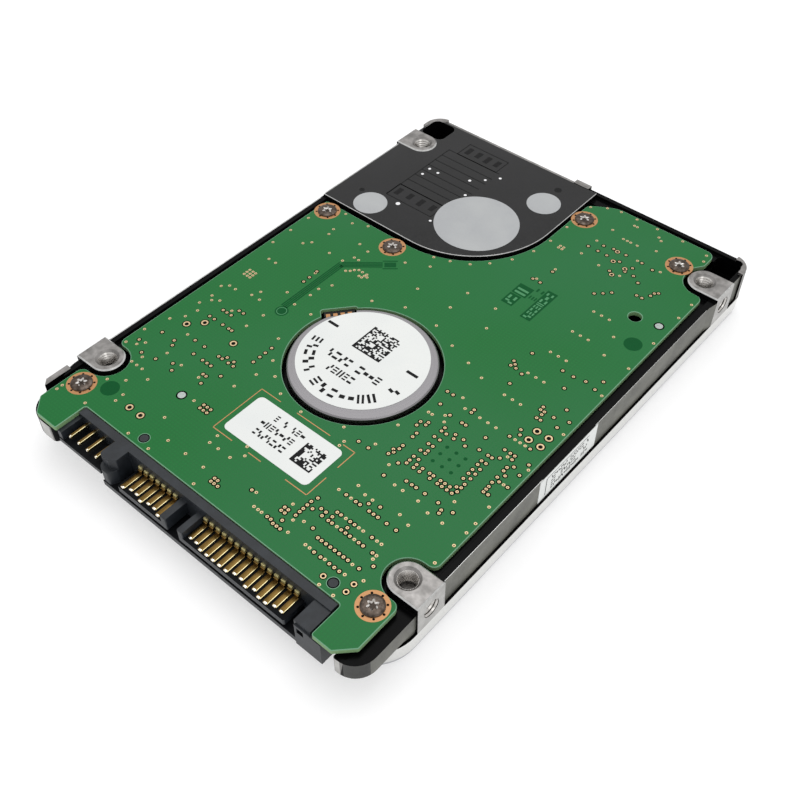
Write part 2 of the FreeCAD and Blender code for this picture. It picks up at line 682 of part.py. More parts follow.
# ---- what stands around the actuator ---------------------------------------
def pivot_shaft():
    post = cyl(PIVOT, 1.6, CAST_Z, PLATE_IN)
    foot = cyl(PIVOT, 3.4, 5.95, PLATE_IN)
    return join([post, foot]).cut(cyl(PIVOT, 1.0, 5.4, PLATE_IN))


def pivot_screw():
    return screw(PIVOT, 2.1, (PLATE_Z - 0.1, PLATE_Z - 0.6), 1.0, 5.5, 0.8)


def yoke(z0, z1):
    body = [sector(PIVOT, YOKE_IN, YOKE_OUT, YOKE_FROM, YOKE_TO, z0, z1)]
    near, far = YOKE_SCREWS
    body.append(bar(near, polar(PIVOT, 17.0, YOKE_TO - 4), 4.0, z0, z1))
    body.append(bar(far, polar(PIVOT, 14.0, YOKE_FROM + 6), 4.0, z0, z1))
    return join(body)


def lower_yoke():
    return yoke(*LOW_YOKE)


def upper_yoke():
    return yoke(*HIGH_YOKE).cut([cyl(at, 0.9, *HIGH_YOKE) for at in YOKE_SCREWS])


def magnet(z0, z1):
    return sector(PIVOT, 8.0, 18.5, 97, 183, z0, z1)


def yoke_posts():
    low, high = LOW_YOKE[1], HIGH_YOKE[0]
    return group([cyl(at, 1.6, low, high).cut(cyl(at, 0.9, 4.4, high))
                  for at in YOKE_SCREWS])


def yoke_screws():
    return group([screw(at, 1.95, (PLATE_Z - 0.1, PLATE_Z - 0.5), 0.9, 4.5, 0.7)
                  for at in YOKE_SCREWS])


def crash_stops():
    return group([cyl(polar(PIVOT, 13.0, turn), 1.05, LOW_YOKE[1], HIGH_YOKE[0])
                  for turn in (188.0, 91.8)])


def latch_pin():
    return cyl(LATCH, 0.8, 2.0, PLATE_IN)


def latch_lever():
    tip = (-28.3, 30.2)
    body = join([bar(LATCH, tip, 1.5, 2.6, 4.1), cyl(LATCH, 1.7, 2.6, 4.1)])
    return body.cut(cyl(LATCH, 0.8 + RUNNING_GAP, 2.6, 4.1))


def load_ramp():
    """Comb that lifts the springs off the discs, around the parked tips."""
    low, high = SPRING_ZS[0] + 0.15, SPRING_ZS[-1] - 0.05
    start, end = PARK_ANGLE - 7.5, PARK_ANGLE + 3.5
    body = sector(PIVOT, HEAD_R + 1.1, HEAD_R + 5.2, start, end, low, high)
    foot = cyl(polar(PIVOT, HEAD_R + 5.6, PARK_ANGLE + 1), 1.9, low, FLOOR_IN)
    slots = [sector(PIVOT, HEAD_R, HEAD_R + 2.8, start - 1, end + 1, z - 0.05,
                    z + SPRING_T + 0.05) for z in SPRING_ZS[1:3]]
    slots += [cyl(SPINDLE, DISC_R + 0.35, z - 0.15, z + DISC_T + 0.15) for z in DISC_ZS]
    hole = cyl(polar(PIVOT, HEAD_R + 5.6, PARK_ANGLE + 1), 0.8, low, FLOOR_IN)
    return join([body, foot]).cut(slots + [hole])


def ramp_screw():
    at = polar(PIVOT, HEAD_R + 5.6, PARK_ANGLE + 1)
    low = SPRING_ZS[0] + 0.15
    return screw(at, 1.5, (low - 0.4, low), 0.8, FLOOR_IN, 0.5)


def recirculation_filter():
    return box(-32.8, -29.6, 10.8, 16.4, 1.2, 5.6)


def desiccant_pack():
    return box(21.5, 26.3, 39.8, 47.2, 2.0, FLOOR_IN)


def breather_filter():
    return slab(11.0, 19.5, 41.5, 47.5, 1.0, COVER_T, 1.8)


# ---- stickers --------------------------------------------------------------
def motor_label():
    return cyl((-0.4, -10.35), 10.6, MOTOR_Z, MOTOR_Z + STICKER_T)


def board_label():
    return slab(-7.1, 10.0, -33.95, -25.85, 0.9, BOARD_TOP, BOARD_TOP + STICKER_T)


def side_label():
    return box(RAIL_X, RAIL_X + STICKER_T, -11.6, 3.0, FLANGE_Z + 0.2, RAIL_Z - 0.1)


def seal_stickers():
    """One large disc over the pivot screw, a small one over each yoke screw."""
    large = cyl(PIVOT, 7.65, PLATE_Z, PLATE_Z + STICKER_T)
    return group([large] + [cyl(at, 3.1, PLATE_Z, PLATE_Z + STICKER_T) for at in YOKE_SCREWS])


PARTS = {
    "base_casting": base_casting,
    "top_cover": top_cover,
    "cover_label": cover_label,
    "cover_gasket": cover_gasket,
    "cover_screws": cover_screws,
    "circuit_board": circuit_board,
    "board_screws": board_screws,
    "controller_chip": controller_chip,
    "memory_chips": memory_chips,
    "motor_driver_chip": motor_driver_chip,
    "board_passives": board_passives,
    "sata_housing": sata_housing,
    "signal_contacts": signal_contacts,
    "power_contacts": power_contacts,
    "jumper_pins": jumper_pins,
    "head_connector": header_block,
    "connector_springs": header_springs,
    "flex_bracket": flex_bracket,
    "flex_cable": flex_cable,
    "motor_bracket": motor_bracket,
    "bearing_sleeve": bearing_sleeve,
    "thrust_plate": thrust_plate,
    "stator_core": stator_core,
    "stator_coils": stator_coils,
    "motor_flex": motor_flex,
    "spindle_hub": spindle_hub,
    "spindle_shaft": spindle_shaft,
    "rotor_magnet": rotor_magnet,
    "platter_lower": lambda: platter(DISC_ZS[0]),
    "platter_upper": lambda: platter(DISC_ZS[1]),
    "platter_spacer": platter_spacer,
    "disc_clamp": disc_clamp,
    "clamp_screws": clamp_screws,
    "arm_block": arm_block,
    "pivot_bearing": pivot_bearing,
    "voice_coil": voice_coil,
    "coil_frame": coil_frame,
    "head_suspensions": head_suspensions,
    "head_sliders": head_sliders,
    "preamp_chip": preamp_chip,
    "pivot_shaft": pivot_shaft,
    "pivot_screw": pivot_screw,
    "lower_yoke": lower_yoke,
    "upper_yoke": upper_yoke,
    "lower_magnet": lambda: magnet(*LOW_MAGNET),
    "upper_magnet": lambda: magnet(*HIGH_MAGNET),
    "yoke_posts": yoke_posts,
    "yoke_screws": yoke_screws,
    "crash_stops": crash_stops,
    "latch_pin": latch_pin,
    "latch_lever": latch_lever,
    "load_ramp": load_ramp,
    "ramp_screw": ramp_screw,
    "recirculation_filter": recirculation_filter,
    "desiccant_pack": desiccant_pack,
    "breather_filter": breather_filter,
    "motor_label": motor_label,
    "board_label": board_label,
    "side_label": side_label,
    "seal_stickers": seal_stickers,
}

os.makedirs("parts", exist_ok=True)
for name, make in PARTS.items():
    make().exportStep("parts/" + name + ".step")
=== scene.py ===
"""Looks of a 2.5-inch hard disk drive that lies on its cover, circuit board up.

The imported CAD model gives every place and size. This file dresses its nodes and adds the fine
work that only matters to the eye: plated holes, prints, screw recesses, threads and engraving.
All sizes here are millimetres in the frame of the CAD model, and turn to metres in each mesh.
"""

import json
import logging
import math
import random
from collections.abc import Callable, Iterable, Sequence
from dataclasses import dataclass, field
from enum import Enum

import bmesh
import bpy
from mathutils import Matrix, Vector

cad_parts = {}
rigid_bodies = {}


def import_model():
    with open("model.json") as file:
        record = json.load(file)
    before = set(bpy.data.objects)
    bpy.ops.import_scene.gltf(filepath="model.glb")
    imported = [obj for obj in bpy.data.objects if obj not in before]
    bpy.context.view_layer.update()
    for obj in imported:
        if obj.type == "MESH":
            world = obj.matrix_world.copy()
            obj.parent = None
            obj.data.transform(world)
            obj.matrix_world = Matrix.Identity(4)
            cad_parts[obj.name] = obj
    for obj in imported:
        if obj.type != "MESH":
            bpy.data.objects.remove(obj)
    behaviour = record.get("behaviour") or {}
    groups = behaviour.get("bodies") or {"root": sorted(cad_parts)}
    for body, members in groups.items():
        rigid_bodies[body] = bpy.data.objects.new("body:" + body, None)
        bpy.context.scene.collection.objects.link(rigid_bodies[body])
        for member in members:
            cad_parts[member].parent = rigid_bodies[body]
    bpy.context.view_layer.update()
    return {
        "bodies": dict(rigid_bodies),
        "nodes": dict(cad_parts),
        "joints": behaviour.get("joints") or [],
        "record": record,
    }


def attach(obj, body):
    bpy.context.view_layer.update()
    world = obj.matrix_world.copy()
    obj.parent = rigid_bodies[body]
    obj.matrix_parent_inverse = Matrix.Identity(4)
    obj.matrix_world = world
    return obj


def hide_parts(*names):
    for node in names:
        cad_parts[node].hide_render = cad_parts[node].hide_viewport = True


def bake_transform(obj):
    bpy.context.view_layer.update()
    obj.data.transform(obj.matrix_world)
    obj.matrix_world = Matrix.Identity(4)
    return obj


LOG = logging.getLogger("drive")
MM = 0.001

Tree, Socket = bpy.types.NodeTree, bpy.types.NodeSocket
Face, Piece = bmesh.types.BMFace, bpy.types.Object
Nodes = dict[str, Piece]
Pair = tuple[float, float]
Span = tuple[float, float, float]

# ---- places shared with the CAD model, in millimetres ----------------------
HOLE_X, HOLE_YS = 30.86, (-36.175, 40.425)
SIDE_HOLE_Z, SIDE_FACE = 6.5, 34.925
MOUNT_Z, PLATE_Z, BOARD_TOP, RAIL_Z = 9.5, 9.3, 9.0, 8.75
FLANGE_TOP, LIP_END, BOSS_FOOT = 3.55, 50.1, MOUNT_Z - 0.21
SPINDLE = (0.0, -10.8)
BOARD_SCREWS = ((-29.9, -42.0), (29.9, -42.0), (-30.55, 13.4),
                (-15.0, 13.4), (6.05, 41.5), (25.4, 41.5))
COVER_SCREWS = tuple((side * x, y) for side in (-1, 1)
                     for x, y in ((30.9, -42.8), (31.0, 19.3), (31.0, 46.3)))
PITCH, CONTACT_WIDTH = 1.27, 0.84
LABEL_THICK = 0.06
LAYER = 0.012                      # step between one printed layer and the next
HAIR = 0.05                        # room for rounding when a face is tested for its place
WELD = 0.0005                      # corners closer than this are one corner


# ---- colour and shader nodes -----------------------------------------------
def colour(code: str) -> tuple[float, float, float, float]:
    """Turns an sRGB hex colour into linear red, green, blue and alpha.

    Args:
        code: the colour as "#rrggbb".

    Returns:
        Four numbers from 0 to 1.
    """
    parts = [int(code[i:i + 2], 16) / 255 for i in (1, 3, 5)]
    linear = [c / 12.92 if c <= 0.04045 else ((c + 0.055) / 1.055) ** 2.4 for c in parts]
    return (*linear, 1.0)


def add(
    tree: Tree,
    kind: str,
    settings: dict | None = None,
    inputs: dict | None = None,
    output: int | str | None = 0,
) -> Socket | None:
    """Adds one shader node with its settings and links.

    Args:
        tree: the node tree that it joins.
        kind: Blender's name for the node, without "ShaderNode".
        settings: attributes of the node.
        inputs: a value or another node's output for each input, by name or place.
        output: which output to hand back, or None for a node without one.

    Returns:
        The chosen output.
    """
    node = tree.nodes.new("ShaderNode" + kind)
    for name, value in (settings or {}).items():
        setattr(node, name, value)
    for key, value in (inputs or {}).items():
        if isinstance(value, Socket):
            tree.links.new(value, node.inputs[key])
        else:
            node.inputs[key].default_value = value
    return None if output is None else node.outputs[output]


def per(size: float) -> float:
    """Scale that gives a texture features of this size in millimetres."""
    return 1.0 / (size * MM)


def shift(x: float, y: float, z: float = 0.0) -> Matrix:
    """Frame that stands at this place."""
    return Matrix.Translation((x, y, z))


def spun(degrees: float, axis: str = "Z") -> Matrix:
    """Frame that is turned about one of its axes."""
    return Matrix.Rotation(math.radians(degrees), 4, axis)


def from_hole(y: float) -> float:
    """Distance along the drive to the nearest mounting hole."""
    return min(abs(y - hole) for hole in HOLE_YS)


SCRATCH = (1.0, 0.03, 1.0)         # a brushed scratch is some thirty times longer than wide
WAVE = 1.0 / 3.0                   # a wave texture draws about three bands to a unit
MIDDLE = (0.25, 0.75)              # noise keeps mostly to this part of its range
CLOUD = (0.35, 0.7)                # and so much of it makes a patch


class Pattern(Enum):
    """How the fine marks of a surface run."""

    GRAIN = "grain"        # the same in every direction
    BRUSHED = "brushed"    # long scratches along the Y axis
    TURNED = "turned"      # rings about the spindle
    WOVEN = "woven"        # two sets of threads at a right angle
    WOUND = "wound"        # wires side by side about the spindle
    FELT = "felt"          # short fibres that cross


@dataclass(frozen=True)
class Finish:
    """One real surface, from its two tones to the wear of its edges.

    Attributes:
        name: the material's common name and how its surface was made.
        base: sRGB hex of the tone in the hollows of the pattern.
        second: sRGB hex of the tone on its crests.
        rough: lowest and highest roughness.
        metallic: 1 for bare metal.
        pattern: how the fine marks run.
        grain: size of one mark, in millimetres.
        relief: height of the marks, in millimetres.
        edge: radius that sharp edges are worn to, in millimetres, or 0.
        specular: share of the usual reflection of a non-metal, 0.5 for all of it.
        glow: light given off by a lit panel, or 0.
    """

    name: str
    base: str
    second: str
    rough: Pair
    metallic: float = 0.0
    pattern: Pattern = Pattern.GRAIN
    grain: float = 0.5
    relief: float = 0.004
    edge: float = 0.0
    specular: float = 0.5
    glow: float = 0.0

    def marks(self, tree: Tree, place: Socket) -> Socket:
        """Adds the pattern of fine marks.

        Args:
            tree: the material's node tree.
            place: the object coordinates.

        Returns:
            A value from 0 in the hollows to 1 on the crests.
        """
        scale = per(self.grain)
        if self.pattern is Pattern.BRUSHED:
            long = add(tree, "Mapping", None, {"Vector": place, "Scale": SCRATCH})
            return add(tree, "TexNoise", None, {"Vector": long, "Scale": scale, "Detail": 4.0})
        if self.pattern in (Pattern.TURNED, Pattern.WOUND):
            centre = Vector((*SPINDLE, 0.0)) * MM
            arm = add(tree, "VectorMath", {"operation": "SUBTRACT"}, {0: place, 1: centre})
            flat = add(tree, "VectorMath", {"operation": "MULTIPLY"}, {0: arm, 1: (1.0, 1.0, 0.0)})
            reach = add(tree, "VectorMath", {"operation": "LENGTH"}, {0: flat}, "Value")
            line = add(tree, "CombineXYZ", None, {"X": reach})
            if self.pattern is Pattern.WOUND:
                return add(tree, "TexWave", None,
                           {"Vector": line, "Scale": scale * WAVE, "Distortion": 0.3}, "Fac")
            return add(tree, "TexNoise", None, {"Vector": line, "Scale": scale, "Detail": 5.0})
        if self.pattern is Pattern.WOVEN:
            warp, weft = (add(tree, "TexWave", {"bands_direction": way},
                              {"Vector": place, "Scale": scale * WAVE}, "Fac") for way in "XY")
            return add(tree, "Math", {"operation": "MULTIPLY"}, {0: warp, 1: weft})
        if self.pattern is Pattern.FELT:
            return add(tree, "TexVoronoi", {"feature": "DISTANCE_TO_EDGE"},
                       {"Vector": place, "Scale": scale}, "Distance")
        return add(tree, "TexNoise", None, {"Vector": place, "Scale": scale, "Detail": 4.0})

    def tone(self, tree: Tree, place: Socket, marks: Socket) -> Socket:
        """Colours the surface between its two tones.

        Args:
            tree: the material's node tree.
            place: the object coordinates, for finishes that vary from place to place.
            marks: the pattern of fine marks.

        Returns:
            The colour.
        """
        return add(tree, "Mix", {"data_type": "RGBA"},
                   {0: marks, 6: colour(self.base), 7: colour(self.second)}, 2)

    def material(self) -> bpy.types.Material:
        """Builds the material once, and hands the same one out after that."""
        if self.name in bpy.data.materials:
            return bpy.data.materials[self.name]
        made = bpy.data.materials.new(self.name)
        made.use_nodes = True
        tree = made.node_tree
        tree.nodes.clear()
        place = add(tree, "TexCoord", output="Object")
        marks = self.marks(tree, place)
        rough = add(tree, "MapRange", None,
                    {"Value": marks, "From Min": MIDDLE[0], "From Max": MIDDLE[1],
                     "To Min": self.rough[0], "To Max": self.rough[1]})
        bump = {"Height": marks, "Distance": self.relief * MM, "Strength": 1.0}
        if self.edge > 0:
            bump["Normal"] = add(tree, "Bevel", {"samples": 6}, {"Radius": self.edge * MM})
        shader = add(tree, "BsdfPrincipled", None, {
            "Base Color": self.tone(tree, place, marks),
            "Metallic": self.metallic,
            "Roughness": rough,
            "Specular IOR Level": self.specular,
            "Emission Color": colour("#ffffff"),
            "Emission Strength": self.glow,
            "Normal": add(tree, "Bump", None, bump),
        })
        add(tree, "OutputMaterial", None, {"Surface": shader}, None)
        made.diffuse_color = colour(self.second)
        return made


@dataclass(frozen=True)
class Patched(Finish):
    """A finish whose tone also drifts slowly across the surface.

    Attributes:
        drift: sRGB hex that the tone leans to.
        patch: size of a patch, in millimetres.
        lean: largest share of the drift colour.
    """

    drift: str = "#808080"
    patch: float = 20.0
    lean: float = 0.5

    def tone(self, tree: Tree, place: Socket, marks: Socket) -> Socket:
        """Colours the surface, with slow patches over the fine marks.

        Args:
            tree: the material's node tree.
            place: the object coordinates.
            marks: the pattern of fine marks.

        Returns:
            The colour.
        """
        fine = super().tone(tree, place, marks)
        cloud = add(tree, "TexNoise", None,
                    {"Vector": place, "Scale": per(self.patch), "Detail": 2.0})
        share = add(tree, "MapRange", None,
                    {"Value": cloud, "From Min": CLOUD[0], "From Max": CLOUD[1],
                     "To Min": 0.0, "To Max": self.lean})
        return add(tree, "Mix", {"data_type": "RGBA"},
                   {0: share, 6: fine, 7: colour(self.drift)}, 2)


# ---- finishes --------------------------------------------------------------
# Epoxy electrocoat on die-cast aluminium: deep black gloss with a faint orange peel.
ECOAT = Patched("epoxy_electrocoat_gloss", "#050506", "#0a0a0b", (0.16, 0.26), grain=0.7,
                relief=0.0015, edge=0.14, specular=0.32, drift="#121114", patch=9.0, lean=0.6)
# The same coat on the rails and walls, out of the light: nearly black.
ECOAT_DEEP = Patched("epoxy_electrocoat_shaded", "#030303", "#060607", (0.18, 0.3), grain=0.7,
                     relief=0.0015, edge=0.14, specular=0.05, drift="#0b0b0c", patch=9.0, lean=0.6)
# Bright metal along edges: the coat worn through where a hand or a tray rubs an edge, with
# a painted highlight there and on the rim of the plate and the chamfers of the bosses.
EDGE_WEAR_AND_HIGHLIGHT = Finish("electrocoat_edge_wear_and_painted_highlight", "#9b9b9b", "#dcdcda", (0.16, 0.3), 1.0, grain=0.5,
                   relief=0.004)
# The same coat on the outer sides of the rails: grey, dull and mottled.
GREY_SIDE_COAT = Patched("epoxy_electrocoat_grey_sides", "#57574f", "#6a6a62", (0.38, 0.55), grain=0.35,
                    relief=0.004, edge=0.12, drift="#45453f", patch=4.0, lean=0.8)
# The coat where a rail's black top turns to its grey side: dark grey, painted shade.
CORNER_SHADE = Patched("epoxy_electrocoat_corner_painted_shade", "#1c1c1b", "#2b2b29", (0.3, 0.45), grain=0.35,
                    relief=0.003, edge=0.12, specular=0.25, drift="#3a3a37", patch=3.0, lean=0.7)
# Die-cast aluminium cut with a mill: grey metal, clouded, with dull scuffs.
MILLED = Patched("aluminium_die_cast_milled", "#646260", "#878583", (0.3, 0.48), 1.0, grain=0.5,
                 relief=0.006, edge=0.12, drift="#a3a09e", patch=1.6, lean=0.8)
# The outer side of a boss and the end of a lip: paler and more even than the milled tops.
PALE_SIDE_METAL = Patched("aluminium_die_cast_pale_sides", "#8f8e8c", "#b0afac", (0.28, 0.42), 1.0, grain=0.5,
                relief=0.005, edge=0.12, drift="#c4c3c0", patch=1.8, lean=0.7)
# The same casting on the outer side of its flange: brighter and smoother.
FLANGE_SIDE_METAL = Finish("aluminium_die_cast_flange_side", "#d6d6d4", "#e6e6e3", (0.26, 0.36), 1.0, grain=0.25,
                 relief=0.001, edge=0.12)
# Aluminium turned on a lathe: fine rings that draw the light out round the spindle.
TURNED = Finish("aluminium_turned", "#6d6b6e", "#959395", (0.26, 0.4), 1.0, Pattern.TURNED,
                grain=0.25, relief=0.002, edge=0.1)
# Tapped aluminium: bright crests of the thread.
TAPPED = Finish("aluminium_tapped", "#a8a5a2", "#d6d3cf", (0.18, 0.32), 1.0, grain=0.3)
# Inside a tapped hole in a side face: dark grey, painted shade.
TAPPED_SHADE = Finish("aluminium_tapped_painted_shade", "#26241f", "#4b4843", (0.3, 0.5), 0.8, grain=0.3)
# Aluminium sheet brushed along its length: soft straight lines.
BRUSHED = Finish("aluminium_sheet_brushed", "#a9aaad", "#c6c7c9", (0.28, 0.42), 1.0,
                 Pattern.BRUSHED, grain=0.22, relief=0.003, edge=0.1)
# Screw steel with a bronze-toned zinc coat: brownish grey with small bright worn spots.
SCREW = Patched("steel_zinc_coated", "#2a231f", "#4c433c", (0.25, 0.42), 1.0, grain=0.25,
                relief=0.004, edge=0.06, drift="#756a62", patch=0.6, lean=0.6)
# The walls of the recess's lobes: small bright glints, a painted highlight.
RECESS_GLINT = Patched("steel_recess_painted_glint", "#c9c4be", "#fdfbf9", (0.12, 0.25), 1.0, grain=0.2,
                 relief=0.02, drift="#3a332e", patch=0.5, lean=0.4)
# The foot of the recess: nearly black, painted shade.
RECESS_SHADE = Finish("steel_recess_painted_shade", "#1b1613", "#4a423c", (0.25, 0.4), 0.9, grain=0.15)
# Hardened spring and tool steel, ground: cool grey.
STEEL = Finish("steel_ground", "#8b8c8f", "#b0b1b4", (0.2, 0.34), 1.0, grain=0.3, relief=0.002)
# Green solder mask on fibreglass: satin gloss over a barely visible weave of 0.6 mm threads.
MASK = Patched("solder_mask_green", "#0a6329", "#0c6a2c", (0.3, 0.42), pattern=Pattern.WOVEN,
               grain=0.6, relief=0.0008, edge=0.1, specular=0.2, drift="#1a6636", patch=34.0,
               lean=0.8)
# The same mask over thick copper or in a double coat: a darker green.
MASK_DARK = Finish("solder_mask_over_copper", "#0a4a24", "#0d5229", (0.35, 0.5), grain=0.6,
                   relief=0.001, specular=0.05)
# The mask over bare laminate inside a legend block: a paler green, for the strokes.
MASK_PALE = Finish("solder_mask_over_laminate", "#3f8154", "#4a8c5f", (0.3, 0.42), grain=0.6,
                   relief=0.001, specular=0.2)
# The mask where it dips round a pad, in its own shadow.
MASK_GAP = Finish("solder_mask_hollow", "#010602", "#020a04", (0.5, 0.6), grain=0.3,
                  specular=0.02)
# The rim that slopes over the board's cut edge, and the ring round a peg: a fine pale line,
# a painted highlight.
MASK_RIM_HIGHLIGHT = Finish("solder_mask_rim_painted_highlight", "#558768", "#78a588", (0.3, 0.45), grain=0.2,
                  specular=0.3)
# Fibreglass laminate cut by a router: pale green, dull and fibrous.
LAMINATE = Finish("fibreglass_routed", "#5d8256", "#7e9c70", (0.6, 0.8), grain=0.15, relief=0.01)
# Copper pad with an organic coat: pale orange-tan, satin.
COPPER = Finish("copper_pad_coated", "#9f6f47", "#bf9064", (0.35, 0.5), 0.7, grain=0.25,
                relief=0.003)
# Pad of a small plated hole, tinned thin over the copper: pale straw.
PAD = Finish("copper_pad_thin_tinned", "#a99168", "#dcc49c", (0.3, 0.45), 0.7, grain=0.25,
             relief=0.003)
# Drilled hole: no light comes back out.
DARK = Finish("drilled_hole_shadow", "#060403", "#0c0805", (0.7, 0.9), grain=0.3, specular=0.1)
# Solder levelled on a copper mark: soft silver.
TINNED = Finish("copper_tinned", "#868d8a", "#b9c0bd", (0.25, 0.4), 1.0, grain=0.3)
# Glass-filled polymer, injection moulded: charcoal with a faint salt of glass fibres.
HOUSING = Patched("polymer_glass_filled_moulded", "#15181c", "#1f2328", (0.38, 0.52), grain=0.12,
                  relief=0.004, edge=0.09, specular=0.35, drift="#2b3036", patch=1.6, lean=0.5)
# The same polymer on the floors of the plug's bays: blacker and dull, painted shade.
HOUSING_SHADE = Finish("polymer_glass_filled_bay_painted_shade", "#08090b", "#0f1114", (0.55, 0.7), grain=0.12,
                      relief=0.004, specular=0.08)
# Gold flash over nickel on copper alloy: brown-gold flats.
GOLD = Finish("copper_alloy_gold_flash", "#5e4924", "#7c6336", (0.24, 0.38), 1.0, grain=0.2,
              relief=0.002)
# A line along one edge of the same strip: bright pale gold, a painted highlight.
GOLD_EDGE_HIGHLIGHT = Finish("copper_alloy_gold_edge_painted_highlight", "#e6d596", "#f7ecc0", (0.12, 0.22), 1.0, grain=0.2,
                   relief=0.001)
# The rounded nose of a strip, which faces the light: nearly white.
NOSE = Finish("copper_alloy_gold_nose", "#f3ead0", "#fffaf0", (0.1, 0.2), 1.0, grain=0.2,
              relief=0.001)
# Where the strip leaves the housing, dulled to olive.
GOLD_DULL = Finish("copper_alloy_gold_dulled", "#a59c68", "#d3c893", (0.35, 0.5), 0.7, grain=0.2)
# Epoxy moulding compound of chips: matt black with fine grit.
RESIN = Finish("epoxy_moulded_chip", "#19191a", "#232325", (0.5, 0.65), grain=0.1, relief=0.006,
               edge=0.06)
# White polyester film with a satin top coat: even, very slightly fibrous.
FILM = Patched("polyester_film_white", "#d8dad8", "#dfe1de", (0.42, 0.52), grain=0.3,
               relief=0.001, drift="#d5d8d7", patch=7.0, lean=0.6)
# Black ink on film: flat black with a soft sheen.
INK = Finish("ink_black_printed", "#0b0b0c", "#131315", (0.45, 0.6), grain=0.3, relief=0.001,
             specular=0.12)
# Thin grey ink for rules and frames.
INK_GREY = Finish("ink_grey_printed", "#8e9194", "#9b9ea1", (0.45, 0.6), grain=0.3, relief=0.001)
# Foil-faced film: cool light grey with a hint of metal.
FOIL = Patched("foil_film_satin", "#9a9c9e", "#a6a8aa", (0.4, 0.52), 0.25, grain=0.4,
               relief=0.001, drift="#abadad", patch=6.0, lean=0.7)
# Closed-cell rubber cut from sheet: dead black.
RUBBER = Finish("rubber_sheet_cut", "#0b0b0b", "#141414", (0.7, 0.85), grain=0.2, relief=0.006)
# Enamelled copper wire wound side by side, drawn as bands 0.2 mm apart.
WIRE = Finish("copper_wire_enamelled", "#8d4a22", "#c9783f", (0.25, 0.4), 1.0, Pattern.WOUND,
              grain=0.2, relief=0.03)
# Nickel-plated magnet: bright, slightly warm.
NICKEL = Finish("magnet_nickel_plated", "#a39d93", "#c9c3b8", (0.14, 0.24), 1.0, grain=0.4,
                relief=0.002, edge=0.08)
# Electrical steel in stacked sheets: dark blue-grey.
SHEETS = Finish("electrical_steel_stacked", "#57585c", "#74757a", (0.35, 0.5), 1.0, grain=0.15,
                relief=0.004)
# Sputtered disc surface: a mirror.
MIRROR = Finish("disc_sputtered_mirror", "#cfcfcd", "#dadad8", (0.02, 0.05), 1.0, Pattern.TURNED,
                grain=1.5, relief=0.0001)
# Polyimide film over copper: amber and glossy.
AMBER = Finish("polyimide_film_amber", "#5b2d0c", "#8a4a16", (0.2, 0.32), grain=0.6, relief=0.002)
# White acetal, moulded: milky.
ACETAL = Finish("acetal_moulded_white", "#cfcdc3", "#dedcd3", (0.35, 0.5), grain=0.3, edge=0.08)
# Non-woven filter fibre: soft white with fine pits.
FELT = Finish("fibre_felt_nonwoven", "#b9b9b3", "#e4e4df", (0.8, 0.95), pattern=Pattern.FELT,
              grain=0.25, relief=0.05)
# Polished ceramic of the head sliders: near black.
CERAMIC = Finish("ceramic_polished", "#1d1d20", "#2a2a2e", (0.1, 0.2), grain=0.2, relief=0.001)
# Flat strips for the grooves struck in the casting under the coat: black painted shade, with no
# gloss.
GROOVE_SHADE = Finish("electrocoat_groove_painted_shade", "#0b0b0c", "#131314", (0.5, 0.7), grain=0.2, relief=0.01,
                specular=0.15)
# Spot of bare metal where an ejector pin rubbed.
SPECK = Finish("aluminium_rubbed_spot", "#d9d9da", "#efeff0", (0.35, 0.5), 0.3, grain=0.2)
# Opal acrylic panel lit from below, which the drive lies on: white, with hardly a shadow.
FLOOR = Finish("acrylic_opal_lit", "#c4c4c5", "#c8c8c8", (0.75, 0.9), grain=3.0, relief=0.0,
               glow=0.45)


